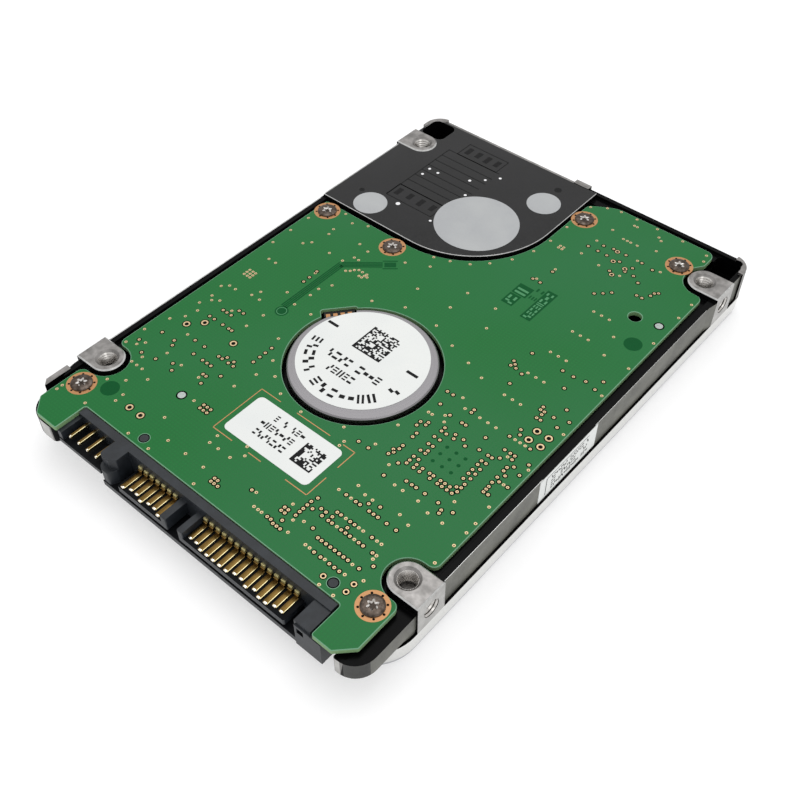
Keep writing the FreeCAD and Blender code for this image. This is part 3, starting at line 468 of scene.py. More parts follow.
# ---- mesh work -------------------------------------------------------------
class Workpiece:
    """A mesh being made in millimetres, which becomes one finished piece."""

    def __init__(self, name: str) -> None:
        """Starts an empty mesh under the piece's name."""
        self.name = name
        self.bm = bmesh.new()
        self.finishes: list[Finish] = []

    def paint(self, faces: Iterable[Face], finish: Finish) -> None:
        """Gives these faces a finish."""
        if finish not in self.finishes:
            self.finishes.append(finish)
        index = self.finishes.index(finish)
        for face in faces:
            face.material_index = index

    def disc(self, at: Pair, radius: float, z: float, finish: Finish, segments: int = 14) -> Face:
        """Lays a thin round patch that faces up.

        Args:
            at: its centre.
            radius: its radius.
            z: its height.
            finish: its finish.
            segments: number of sides.

        Returns:
            Its face, ready for rings to be cut in.
        """
        made = bmesh.ops.create_circle(self.bm, cap_ends=True, segments=segments, radius=radius,
                                       matrix=shift(*at, z))
        face = made["verts"][0].link_faces[0]
        face.normal_update()
        if face.normal.z < 0:
            face.normal_flip()
        self.paint([face], finish)
        return face

    def inset(self, face: Face, width: float, finish: Finish, drop: float = 0.0) -> None:
        """Leaves a rim of the old finish, and gives the middle a new one.

        Args:
            face: the patch to work on.
            width: width of the rim.
            finish: finish of the middle.
            drop: how far the middle sinks.
        """
        rim = bmesh.ops.inset_region(self.bm, faces=[face], thickness=width, use_boundary=True,
                                     use_even_offset=True)
        for part in rim["faces"]:
            part.material_index = face.material_index
        self.paint([face], finish)
        if drop:
            bmesh.ops.translate(self.bm, verts=face.verts, vec=(0, 0, -drop))

    def tile(self, x: Pair, y: Pair, z: float, finish: Finish, frame: Matrix | None = None) -> None:
        """Lays a thin rectangle that faces up in its own frame.

        Args:
            x: its left and right edge.
            y: its near and far edge.
            z: its height.
            finish: its finish.
            frame: where that frame stands, for a print that is turned.
        """
        size = Matrix.Diagonal((x[1] - x[0], y[1] - y[0], 1.0, 1.0))
        place = shift((x[0] + x[1]) / 2, (y[0] + y[1]) / 2, z)
        whole = (frame or Matrix.Identity(4)) @ place @ size
        made = bmesh.ops.create_grid(self.bm, x_segments=1, y_segments=1, size=0.5, matrix=whole)
        self.paint(made["verts"][0].link_faces, finish)

    def block(
        self,
        low: Sequence[float],
        high: Sequence[float],
        finish: Finish,
        edge: float,
    ) -> None:
        """Makes a box with rounded edges.

        Args:
            low: its lowest corner.
            high: its highest corner.
            finish: its finish.
            edge: radius of its edges.
        """
        low, high = Vector(low), Vector(high)
        size = Matrix.Diagonal((*(high - low), 1.0))
        whole = shift(*(low + high) / 2) @ size
        made = bmesh.ops.create_cube(self.bm, size=1.0, matrix=whole)
        edges = list({e for v in made["verts"] for e in v.link_edges})
        before = set(self.bm.faces) - {f for v in made["verts"] for f in v.link_faces}
        bmesh.ops.bevel(self.bm, geom=edges, offset=edge, segments=2, profile=0.5,
                        affect="EDGES", material=-1)
        self.paint([f for f in self.bm.faces if f not in before], finish)

    def turned(
        self,
        profile: Sequence[Pair],
        frame: Matrix,
        finish: Finish,
        steps: int = 36,
    ) -> None:
        """Spins a closed profile about the Z axis of a frame.

        Args:
            profile: (radius, height) corners in order, none of them on the axis.
            frame: where the axis stands.
            finish: its finish.
            steps: number of sides.
        """
        known = set(self.bm.faces)
        verts = [self.bm.verts.new((r, 0.0, z)) for r, z in profile]
        edges = [self.bm.edges.new((verts[i - 1], verts[i])) for i in range(len(verts))]
        bmesh.ops.spin(self.bm, geom=verts + edges, cent=(0, 0, 0), axis=(0, 0, 1),
                       dvec=(0, 0, 0), angle=2 * math.pi, steps=steps, space=Matrix.Identity(4),
                       use_merge=True, use_normal_flip=False, use_duplicate=False)
        faces = [f for f in self.bm.faces if f not in known]
        points = list({v for f in faces for v in f.verts})
        bmesh.ops.transform(self.bm, matrix=frame, verts=points)
        bmesh.ops.recalc_face_normals(self.bm, faces=faces)
        self.paint(faces, finish)

    def made(self, slot: str, *replaces: str, smooth: float = 35.0, rides: bool = True) -> Piece:
        """Turns the mesh into an object.

        Args:
            slot: the record's material slot.
            replaces: CAD nodes that it stands for.
            smooth: edges under this angle are shaded smooth, in degrees.
            rides: whether it moves with the casing, or is left unattached.

        Returns:
            The object.
        """
        limit = math.radians(smooth)
        for face in self.bm.faces:
            face.smooth = True
        for edge in self.bm.edges:
            edge.smooth = edge.calc_face_angle(0.0) < limit
        bmesh.ops.scale(self.bm, vec=(MM, MM, MM), verts=self.bm.verts)
        mesh = bpy.data.meshes.new(self.name)
        self.bm.to_mesh(mesh)
        self.bm.free()
        for finish in self.finishes:
            mesh.materials.append(finish.material())
        piece = bpy.data.objects.new(self.name, mesh)
        bpy.context.scene.collection.objects.link(piece)
        if rides:
            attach(piece, "casing")
        if replaces:
            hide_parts(*replaces)
        LOG.info("%-24s %6d faces in %s", self.name, len(mesh.polygons), slot)
        return piece


Zone = tuple[Finish, Callable[[Vector, Vector], bool]]


def recut(node: Piece, name: str, rest: Finish, zones: Sequence[Zone]) -> Workpiece:
    """Copies a CAD node, joins its loose triangles, and gives each face the finish of its zone.

    Args:
        node: the CAD node's object.
        name: the new piece's name.
        rest: finish of the faces that no zone claims.
        zones: a finish and a test of face centre and normal for each zone, first match first.

    Returns:
        The workpiece, in millimetres.
    """
    work = Workpiece(name)
    work.bm.from_mesh(node.data)
    bmesh.ops.scale(work.bm, vec=(1 / MM,) * 3, verts=work.bm.verts)
    bmesh.ops.remove_doubles(work.bm, verts=work.bm.verts, dist=WELD)
    work.bm.normal_update()
    for face in work.bm.faces:
        centre = face.calc_center_median()
        found = next((finish for finish, test in zones if test(centre, face.normal)), rest)
        work.paint([face], found)
    return work


def dress(nodes: Nodes, finish: Finish, *names: str) -> None:
    """Gives whole CAD nodes a finish in their material slots."""
    for name in names:
        for slot in nodes[name].material_slots:
            slot.link = "OBJECT"
            slot.material = finish.material()
        LOG.info("%-24s dressed in %s", name, finish.name)


# ---- studio ----------------------------------------------------------------
@dataclass
class Softbox:
    """A square studio light that points at the drive.

    Attributes:
        at: where it hangs, in metres.
        size: length of a side, in metres.
        power: in watts.
    """

    at: Span
    size: float
    power: float

    def build(self, name: str) -> None:
        """Hangs the light, aimed at the origin."""
        lamp = bpy.data.lights.new(name, "AREA")
        lamp.shape = "SQUARE"
        lamp.size = self.size
        lamp.energy = self.power
        holder = bpy.data.objects.new(name, lamp)
        holder.location = self.at
        holder.rotation_euler = Vector(self.at).to_track_quat("Z", "Y").to_euler()
        bpy.context.scene.collection.objects.link(holder)


@dataclass
class Studio:
    """Camera, floor and lights.

    Attributes:
        azimuth: the camera's turn from the -Y axis, in degrees.
        elevation: its angle above the floor, in degrees.
        roll: its turn about its own axis, in degrees.
        reach: how far it stands back, in millimetres.
        offset: how far it is moved to its own right and up, in millimetres.
        lens: focal length for the usual 36 mm sensor.
        ambient: brightness of the white surroundings.
        floor_size: width of the floor, in metres.
        floor_gap: room between the floor and the cover, in millimetres.
        boxes: the softboxes.
    """

    azimuth: float = 40.853
    elevation: float = 48.015
    roll: float = -0.132
    reach: float = 174.674
    offset: Pair = (-1.294, -5.747)
    lens: float = 46.924
    ambient: float = 0.95
    floor_size: float = 4.0
    floor_gap: float = 0.05
    boxes: dict[str, Softbox] = field(default_factory=lambda: {
        "top_softbox": Softbox((-0.15, 0.25, 0.75), 0.6, 1.6),
        "side_softbox": Softbox((0.7, -0.25, 0.45), 0.4, 0.5),
    })

    def camera(self) -> None:
        """Places the camera."""
        turn, rise, roll = map(math.radians, (self.azimuth, self.elevation, self.roll))
        back = Vector((math.sin(turn) * math.cos(rise), -math.cos(turn) * math.cos(rise),
                       math.sin(rise)))
        level = Vector((math.cos(turn), math.sin(turn), 0.0))
        upright = back.cross(level)
        right = level * math.cos(roll) + upright * math.sin(roll)
        up = upright * math.cos(roll) - level * math.sin(roll)
        lens = bpy.data.cameras.new("camera")
        lens.lens = self.lens
        lens.clip_start = 0.01
        holder = bpy.data.objects.new("camera", lens)
        place = (right * self.offset[0] + up * self.offset[1] + back * self.reach) * MM
        axes = Matrix((right, up, back)).transposed().to_4x4()
        holder.matrix_world = Matrix.Translation(place) @ axes
        bpy.context.scene.collection.objects.link(holder)
        bpy.context.scene.camera = holder

    def floor(self) -> None:
        """Lays a wide pale floor just under the cover."""
        bm = bmesh.new()
        bmesh.ops.create_grid(bm, x_segments=1, y_segments=1, size=self.floor_size / 2,
                              matrix=shift(0, 0, -self.floor_gap * MM))
        mesh = bpy.data.meshes.new("floor")
        bm.to_mesh(mesh)
        bm.free()
        mesh.materials.append(FLOOR.material())
        plate = bpy.data.objects.new("floor", mesh)
        bpy.context.scene.collection.objects.link(plate)

    def light(self) -> None:
        """Sets the white surroundings and hangs the softboxes."""
        world = bpy.data.worlds.new("surroundings")
        world.use_nodes = True
        tree = world.node_tree
        tree.nodes.clear()
        glow = add(tree, "Background", None, {"Color": colour("#ffffff"), "Strength": self.ambient})
        add(tree, "OutputWorld", None, {"Surface": glow}, None)
        bpy.context.scene.world = world
        bpy.context.scene.view_settings.view_transform = "Standard"
        for name, box in self.boxes.items():
            box.build(name)

    def build(self) -> None:
        """Sets up the whole studio, camera first."""
        self.camera()
        self.floor()
        self.light()
        LOG.info("studio ready")


# ---- casting ---------------------------------------------------------------
@dataclass
class Casting:
    """The black casting with its milled faces, tapped holes and engraved plate.

    Attributes:
        boss: radius of a mounting boss.
        thread: root and crest radius, and pitch, of the M3 thread.
        sunk: how far the thread starts inside a hole from above and from the side.
        depth: length of the thread in a hole from above and from the side.
        rules_y: heights of the engraved lines across the plate.
        rules_x: left and right end of those lines.
        specks: centres and radii of the pale marks on the plate.
        worn: left, right, near and far end and height of each bright stretch of rail edge: worn
            coat with a painted highlight.
        flange: side, near end, far end, near radius and far radius of the flange's outline.
        posts: left, right, near and far end and foot of each further milled part.
        bore: radius and foot of the milled mouth of a mounting hole.
        side_bore: radius and inner end of a side hole, with room for rounding.
        ledge: front and right end of the worn ledge at the far end.
        boxes: left, right, near and far end of each engraved box, with four cells in it.
        cells: inset of the first cell's middle in its box, and half the width of a cell.
        line: half the width of an engraved line.
        dots: centres and radii of the sunk dots.
    """

    boss: float = 2.8
    thread: Span = (1.49, 1.3, 0.5)
    sunk: Pair = (0.35, 0.1)
    depth: Pair = (2.6, 2.0)
    rules_y: tuple[float, ...] = (42.1, 39.9, 37.9, 35.9, 33.9, 31.9, 29.9, 27.8)
    rules_x: Pair = (-25.5, -13.5)
    specks: tuple[Span, ...] = (
        (-12.5, 41.1, 0.28), (-14.3, 38.9, 0.26), (-16.4, 36.9, 0.3), (-24.4, 34.9, 0.28),
        (-22.4, 34.9, 0.28), (-24.4, 32.8, 0.28), (-14.3, 32.9, 0.28), (-14.4, 23.0, 0.26),
        (-22.0, 23.0, 0.42))
    worn: tuple[tuple[float, float, float, float, float], ...] = (
        (-34.49, -34.3, -33.0, 15.8, 8.762), (-34.3, -34.1, 16.8, 37.3, 9.312),
        (34.43, 34.49, -33.0, -11.0, 8.762), (34.43, 34.49, 2.4, 35.0, 8.762))
    flange: tuple[float, float, float, float, float] = (SIDE_FACE, -46.7, 50.175, 7.2, 3.6)
    posts: tuple[tuple[float, float, float, float, float], ...] = (
        (-35.0, -31.9, 45.5, 50.2, RAIL_Z + 0.04), (31.9, 35.0, 45.5, 50.2, RAIL_Z + 0.04),
        (-35.0, -33.9, -50.2, -40.9, RAIL_Z))
    bore: Pair = (1.97, 6.3)
    side_bore: Pair = (1.6, 32.0)
    ledge: Pair = (49.12, 2.0)
    boxes: tuple[tuple[float, float, float, float], ...] = (
        (-23.5, -14.3, 42.1, 46.1), (-25.6, -15.1, 23.9, 27.8))
    cells: Pair = (1.3, 0.5)
    line: float = 0.1
    dots: tuple[Span, ...] = ((-29.8, 21.9, 0.5), (-2.3, 45.2, 0.7))

    def is_boss_edge(self, at: Vector, normal: Vector) -> bool:
        """Tells whether a face is the chamfer round a boss top, which gets a painted highlight."""
        off = from_hole(at.y)
        outside = math.hypot(abs(at.x) - HOLE_X, off) > 2.1 and off < self.boss + HAIR
        return outside and at.z > BOSS_FOOT and 0.3 < normal.z < 0.95

    def is_outer_side(self, at: Vector, normal: Vector) -> bool:
        """Tells whether a face is the outer side of a boss, or the end of a lip."""
        out = abs(normal.x) > 0.9 and abs(at.x) > SIDE_FACE - 2 * HAIR
        lip = normal.y < -0.99 and at.y < -LIP_END
        return lip or (out and from_hole(at.y) < self.boss + HAIR)

    def is_milled(self, at: Vector, normal: Vector) -> bool:
        """Tells whether a face of the casting was milled after it was coated."""
        side, off = abs(at.x), from_hole(at.y)
        if side > SIDE_FACE - 2 * HAIR or abs(at.y) > LIP_END:
            return True
        if math.hypot(side - HOLE_X, off) < self.bore[0] and at.z > self.bore[1]:
            return True
        if math.hypot(max(HOLE_X - side, 0.0), off) < self.boss and at.z > BOSS_FOOT:
            return True
        if any(left < at.x < right and near < at.y < far and at.z > foot
               for left, right, near, far, foot in self.posts):
            return True
        ledge = at.y > self.ledge[0] and at.x < self.ledge[1]
        return ledge and at.z > RAIL_Z - HAIR and normal.z > 0.5

    def is_flange_side(self, at: Vector, normal: Vector) -> bool:
        """Tells whether a face is the outer side of the flange."""
        if abs(normal.z) > 0.5 or at.z > FLANGE_TOP:
            return False
        side, near, far, near_r, far_r = self.flange
        radius = near_r if at.y < 0 else far_r
        across = abs(at.x) - (side - radius)
        along = max(near + radius - at.y, at.y - (far - radius))
        if across > 0 and along > 0:
            beyond = math.hypot(across, along) - radius
        else:
            beyond = max(across, along) - radius
        return beyond > -2 * HAIR

    def is_plate_rim_highlight(self, at: Vector, normal: Vector) -> bool:
        """Tells whether a face is the rounded rim of the raised plate: painted highlight."""
        return PLATE_Z - 0.31 < at.z < PLATE_Z - 0.005 and 0.6 < normal.z < 0.92 and at.y < 48.5

    def is_plate(self, at: Vector, normal: Vector) -> bool:
        """Tells whether a face is the top of the raised plate."""
        return at.z > PLATE_Z - 0.4 and normal.z > 0.9

    def is_hole(self, at: Vector, normal: Vector) -> bool:
        """Tells whether a face is inside a tapped hole in a side face, where shade is painted."""
        radius, inner = self.side_bore
        inside = math.hypot(at.z - SIDE_HOLE_Z, from_hole(at.y)) < radius
        return inside and inner < abs(at.x) < SIDE_FACE - 2 * HAIR

    def is_rail_side(self, at: Vector, normal: Vector) -> bool:
        """Tells whether a face is the outer side of a rail."""
        return 34.0 < abs(at.x) and abs(normal.x) > 0.95 and FLANGE_TOP < at.z < RAIL_Z

    def is_shaded_corner(self, at: Vector, normal: Vector) -> bool:
        """Tells whether a face turns the corner from a grey side to a black one: painted shade."""
        outward = normal.x * math.copysign(1.0, at.x)
        return 32.0 < abs(at.x) and 0.3 < outward <= 0.95 and FLANGE_TOP < at.z < RAIL_Z

    def body(self, nodes: Nodes) -> None:
        """Recuts the casting into its coated, rubbed and milled faces."""
        # Painted light among the zones: a highlight on boss chamfers and the plate's rim, shade
        # inside the side holes and on the rails' turned corners.
        zones = ((FLANGE_SIDE_METAL, self.is_flange_side), (TAPPED_SHADE, self.is_hole),
                 (EDGE_WEAR_AND_HIGHLIGHT, self.is_boss_edge), (PALE_SIDE_METAL, self.is_outer_side), (MILLED, self.is_milled),
                 (GREY_SIDE_COAT, self.is_rail_side), (CORNER_SHADE, self.is_shaded_corner),
                 (EDGE_WEAR_AND_HIGHLIGHT, self.is_plate_rim_highlight), (ECOAT, self.is_plate))
        work = recut(nodes["base_casting"], "casting", ECOAT_DEEP, zones)
        work.made("black_ecoat", "base_casting", smooth=28.0)

    def threads(self) -> None:
        """Cuts a thread into each mounting hole, from above and from the side."""
        root, crest, pitch = self.thread
        work = Workpiece("mount_threads")
        for x in (-HOLE_X, HOLE_X):
            for y in HOLE_YS:
                down = shift(x, y, MOUNT_Z - self.sunk[0]) @ spun(180, "X")
                mouth = math.copysign(SIDE_FACE - self.sunk[1], x)
                aside = shift(mouth, y, SIDE_HOLE_Z) @ spun(math.copysign(90, -x), "Y")
                for frame, depth in zip((down, aside), self.depth):
                    turns = round(depth / pitch)
                    teeth = [(crest if i % 2 else root - 0.02, i * pitch / 2)
                             for i in range(2 * turns + 1)]
                    work.turned([(root, turns * pitch), (root, 0.0), *teeth], frame, TAPPED)
        work.made("machined_aluminium")

    def engraving(self) -> None:
        """Draws the date grid engraved in the plate over the voice-coil motor, as flat strips of
        painted shade.
        """
        left, right = self.rules_x
        z, half = PLATE_Z + LAYER, self.line
        inset, cell = self.cells
        work = Workpiece("plate_engraving")
        for y in self.rules_y:
            work.tile((left, right), (y - half, y + half), z, GROOVE_SHADE)
        for x0, x1, y0, y1 in self.boxes:
            for y in (y0, y1):
                work.tile((x0, x1), (y - half, y + half), z, GROOVE_SHADE)
            for x in (x0, x1):
                work.tile((x - half, x + half), (y0, y1), z, GROOVE_SHADE)
            for i in range(4):
                x = x0 + inset + i * (x1 - x0 - 2 * inset) / 3
                foot = y0 + 1.0 + 0.3 * (i % 2)
                work.tile((x - cell, x + cell), (foot, y1 - 0.9), z, GROOVE_SHADE)
        work.tile((left - half, left + half), (self.boxes[1][2], self.boxes[0][2]), z, GROOVE_SHADE)
        for x, y, radius in self.specks:
            work.disc((x, y), radius, z + LAYER, SPECK)
        # Bright strips along the rail edges: worn coat with a painted highlight.
        for x0, x1, y0, y1, height in self.worn:
            work.tile((x0, x1), (y0, y1), height, EDGE_WEAR_AND_HIGHLIGHT)
        for x, y, radius in self.dots:
            work.disc((x, y), radius, z, GROOVE_SHADE)
        work.made("black_ecoat")

    def build(self, nodes: Nodes) -> None:
        """Builds and dresses the casting."""
        self.body(nodes)
        self.threads()
        self.engraving()


# ---- circuit board ---------------------------------------------------------
Rows = tuple[tuple[float, tuple[float, ...]], ...]

FIELD, MESH = (20.7, 22.2, 23.7), (-29.4, -28.65, -28.0)   # columns that come back in many rows

# Small plated holes with a dark gap round the pad, in rows: y, then each x.
GAPPED_HOLES: Rows = (
    (38.0, (14.5, 17.0, 20.2)), (37.6, (12.7, 22.5)), (35.8, (10.7, 12.7, 14.5, 17.1, 19.7)),
    (34.2, (20.9, 19.2)), (33.2, (22.4, 26.4)), (32.7, (17.1, 25.9)), (31.8, (25.7,)), (30.4,
    (23.9, 24.9)), (28.3, (20.4,)), (27.2, (19.4,)), (26.2, (18.3, 9.9)), (22.6, (9.9, 8.4)), (8.2,
    (18.7, 24.5, 26.5)), (8.6, (28.5,)), (8.1, (30.5,)), (10.3, (30.6,)), (5.0, (17.5,)), (4.5,
    (18.1,)), (3.9, (17.7, 18.7)), (3.5, (20.1,)), (5.3, (26.8,)), (0.7, (19.9,)), (0.1, (26.6,
    31.3)), (1.9, (29.6,)), (-0.6, (26.6, 27.3, 29.0)), (-1.3, (27.3,)), (-1.9, (30.5,)), (-2.3,
    (27.1, 27.8)), (-5.7, (26.7,)), (-6.8, (13.7, 14.8)), (-6.6, (27.2,)), (-7.1, (19.1,)), (-7.8,
    (19.1, 26.2, 29.9)), (-9.5, (14.5,)), (-10.3, (17.0, 19.3, 20.0, 23.7, 27.2, 28.2, 29.0,
    31.5)), (-11.1, (29.1,)), (-12.0, (27.6, 30.1)), (-12.7, (18.0, 20.0, 21.5, 24.4, 26.0, 26.7,
    29.4, 31.6)), (-13.5, (15.5, 18.0, 18.9, 20.3, 22.4, 29.4)), (-14.1, (14.5, 15.5, 25.9, 26.7,
    30.1)), (-15.0, (14.5, 17.9, 18.9, 25.9, 29.4)), (-15.5, (26.7, 30.1, 31.6)), (-16.2, (15.5,
    25.9, 29.4)), (-16.6, (18.1, 18.9, 26.7)), (-17.1, (15.5, 25.9, 29.5)), (-17.7, (18.9, 26.7,
    29.5)), (-18.3, (18.0, 18.9, 25.9, 29.5, 30.3)), (-19.0, (26.7,)), (-19.3, (15.5,)), (-19.8,
    (18.0, 18.9, 26.7)), (-20.1, (15.5, 26.1)), (-20.7, (14.9, 18.0, 19.3, 20.4, 21.7, 22.4, 23.7,
    24.5, 25.4, 26.7)), (-21.1, (15.3,)), (-21.4, (18.0, 19.3, 20.4, 22.3, 23.7, 24.5, 25.4,
    26.3)), (-21.8, (14.9,)), (-22.2, (17.1,)), (-22.9, (10.1, 12.0)), (-23.9, (20.1, 21.1, 21.9,
    23.5, 25.9, 28.5)), (-24.6, (27.0,)), (-25.2, (17.0, 27.1)), (-29.7, (20.3,)), (-30.3,
    (18.7,)), (-31.2, (15.3, 17.1, 17.9, 19.6, 20.4, 21.2, 22.8, 24.5)), (-34.2, (12.7, 16.4, 17.1,
    18.8, 19.6, 22.8)), (-35.2, (12.4, 14.3, 15.2, 16.4, 19.2)), (-36.0, (12.4, 13.4, 15.2, 16.4,
    17.1, 18.8, 19.6, 20.4, 22.0, 22.8, 24.5)), (-36.8, (12.4,)), (-37.5, (12.4, 26.0)), (-38.3,
    (12.4, 10.3, 11.0, 15.7)), (-39.0, (10.3, 11.0, 17.3, 18.0, 18.8, 19.6, 20.4, 21.2, 22.0, 22.8,
    24.8)), (-39.2, (4.7,)), (-40.1, (11.6,)), (-41.0, (9.6, 10.3, 18.5, 19.7, 21.3, 22.2, 23.1)),
    (-41.3, (11.0, 11.7, 12.4)), (-41.2, (-0.8, -0.15)), (-41.9, (-0.8, -0.15, 0.6)), (-32.8,
    (-12.33, -11.6, -10.83)), (-33.6, (-12.33, -11.6, -10.83)), (0.2, (-20.5,)), (-1.7, (-20.4,)),
    (-3.1, (-20.4,)), (-15.1, (-23.4, -22.4)), (-16.7, (-25.5, -24.6, -23.6)), (-19.1, (-26.1,
    -25.0, -23.0, -21.6, -20.9)), (-17.7, (-13.2,)), (-19.1, (-13.2,)), (-20.3, (-13.2,)), (-21.7,
    (-13.2,)), (-23.7, (-17.0, -15.5)), (-24.4, (-18.2, -17.4, -16.0, -14.9, -23.7, -21.5)),
    (-26.6, (-29.1, -26.2, -21.6, -19.5, -18.5, -17.6)), (-27.1, (-14.8,)), (-28.6, (-17.2,
    -16.5)), (-30.1, (-22.5, -16.0, -30.6)), (-31.2, (-21.5, -25.3)), (-31.7, (-28.1,)), (-27.5,
    (-25.6,)))

# Small plated holes whose pad touches the mask, in rows: y, then each x.
PLAIN_HOLES: Rows = (
    (47.6, (9.9, 13.2, 17.4, 22.5)), (46.9, (7.4, 27.6)), (45.8, (13.8, 14.4, 18.8)), (45.2, (4.9,
    19.6, 28.0)), (42.3, (11.5, 20.4)), (41.4, (14.3, 15.1, 15.8, 17.1)), (38.0, (11.0, 19.3,
    23.8)), (37.7, (4.9,)), (34.3, (32.0,)), (33.4, (10.9,)), (32.7, (4.9, 7.0, 7.7, 14.9, 19.1)),
    (32.1, (7.0, 7.7)), (30.2, (32.0,)), (28.5, (4.3,)), (27.0, (9.9,)), (24.3, (2.8,)), (23.0,
    (8.9,)), (22.5, (32.0, *FIELD)), (21.0, (0.5,)), (19.6, (26.4,)), (18.6, (-1.9,)), (17.0,
    (-5.0,)), (16.4, FIELD), (16.0, (-7.8,)), (15.2, (27.5, 32.0)), (14.9, (-22.0, -27.4)), (13.7,
    (-24.7, -6.7)), (12.6, (2.3, 8.1)), (11.7, (-10.6,)), (10.3, (*FIELD, -19.8, -26.1)), (9.7,
    (-17.4, -31.7)), (8.8, (-25.8,)), (8.0, (2.3, 9.8, -4.7)), (7.7, (32.0,)), (7.0, (-18.1,
    -17.1)), (5.2, (-26.5, -31.7)), (5.1, (-19.1, -22.2, -14.5, -13.5, -15.3)), (4.3, FIELD), (4.6,
    (-13.6, -13.0, -15.9)), (4.0, (-27.5, -16.3, -14.3, -13.7)), (3.5, (-16.9,)), (3.2, (3.3,
    -3.3)), (1.3, (8.1,)), (0.8, (-31.7, -8.5)), (0.0, (12.4,)), (-0.3, (-20.4,)), (-0.7,
    (-16.1,)), (-1.2, (15.9,)), (-1.73, FIELD), (-2.4, (32.0,)), (-2.8, (-29.0, -27.4, -17.2)),
    (-4.8, (-17.2,)), (-6.3, (16.3,)), (-6.93, MESH), (-7.6, MESH), (-8.27, MESH), (-7.8, (*FIELD,
    17.9, 27.2, 28.1, 29.0)), (-6.8, (-20.6,)), (-8.1, (-17.6, -13.9)), (-9.6, (-24.0,)), (-11.1,
    (-24.6, -22.8, 28.3, 32.0)), (-10.8, (16.5,)), (-11.9, (14.2, 14.9, 17.2, -29.1, -27.7)),
    (-12.9, (-30.1,)), (-13.3, (-19.6,)), (-15.5, (-29.5, -27.6, -13.9, 30.9)), (-15.9, (-24.3,)),
    (-16.3, (-28.7,)), (-16.8, (-19.9, 12.4)), (-18.0, (-29.8,)), (-19.5, (-28.6, -11.1)), (-19.9,
    (31.7,)), (-21.7, (-29.1, -8.4, 12.3)), (-22.3, (6.6, 27.5)), (-23.3, (-10.9, 16.3, 32.0)),
    (-23.7, (-5.2, -30.6)), (-24.3, (8.5, -25.6, -0.3)), (-25.3, (8.5, 32.0)), (-25.5, (19.3, 20.8,
    23.6)), (-26.2, (25.9, 28.5)), (-27.2, (-11.7,)), (-28.0, (32.0, -31.8)), (-28.9, (15.5,
    23.2)), (-29.2, (-24.9,)), (-29.5, (17.3, 18.7, 25.2, -21.2, -17.2)), (-29.9, (-29.3,)),
    (-31.2, (13.9, 16.2)), (-31.0, (-30.1,)), (-31.8, (31.8, -31.8)), (-32.3, (-27.2,)), (-33.2,
    (-14.1,)), (-34.0, (-27.7, -26.5, -25.2)), (-34.2, (18.0, 20.4, 21.2, 23.7, 24.5, -1.5)),
    (-34.9, (-22.8,)), (-35.6, (-6.3, -0.5)), (-36.0, (18.0, 21.2, 25.2)), (-36.7, (25.2,)),
    (-37.2, (-6.2, -4.4, -1.9, -25.2, 10.8)), (-38.3, (14.0, -14.9)), (-38.9, (-27.6,)), (-39.1,
    (12.7, 23.7, 5.5)), (-39.4, (-23.2,)), (-40.0, (26.5,)), (-40.9, (16.8, 17.6, 20.4, 24.0,
    -11.1, -7.3, -3.5, -23.1)), (-41.0, (7.0, 7.8, 8.5, 13.6)), (-43.8, (-12.1, -2.3, -16.6)),
    (-44.2, (22.5, 25.0, -26.2, -31.8)), (-45.2, (-31.8,)))

# Larger plated holes: x, y and radius of the dark gap.
WIDE_HOLES = (
    *((x, y, 0.76) for x, y in (
        (-20.45, -40.4), (-17.95, -40.4), (-25.57, -20.67), (-18.57, -20.93), (-27.57, -22.77),
        (28.7, -4.4), (30.8, -4.4), (28.7, -6.5), (30.8, -6.5))),
    *((x, y, 0.55) for x, y in (
        (16.2, 35.2), (18.8, 34.8), (17.9, 32.1), (15.4, 37.8), (22.0, -42.9), (25.9, -41.2),
        (25.9, -42.7))))


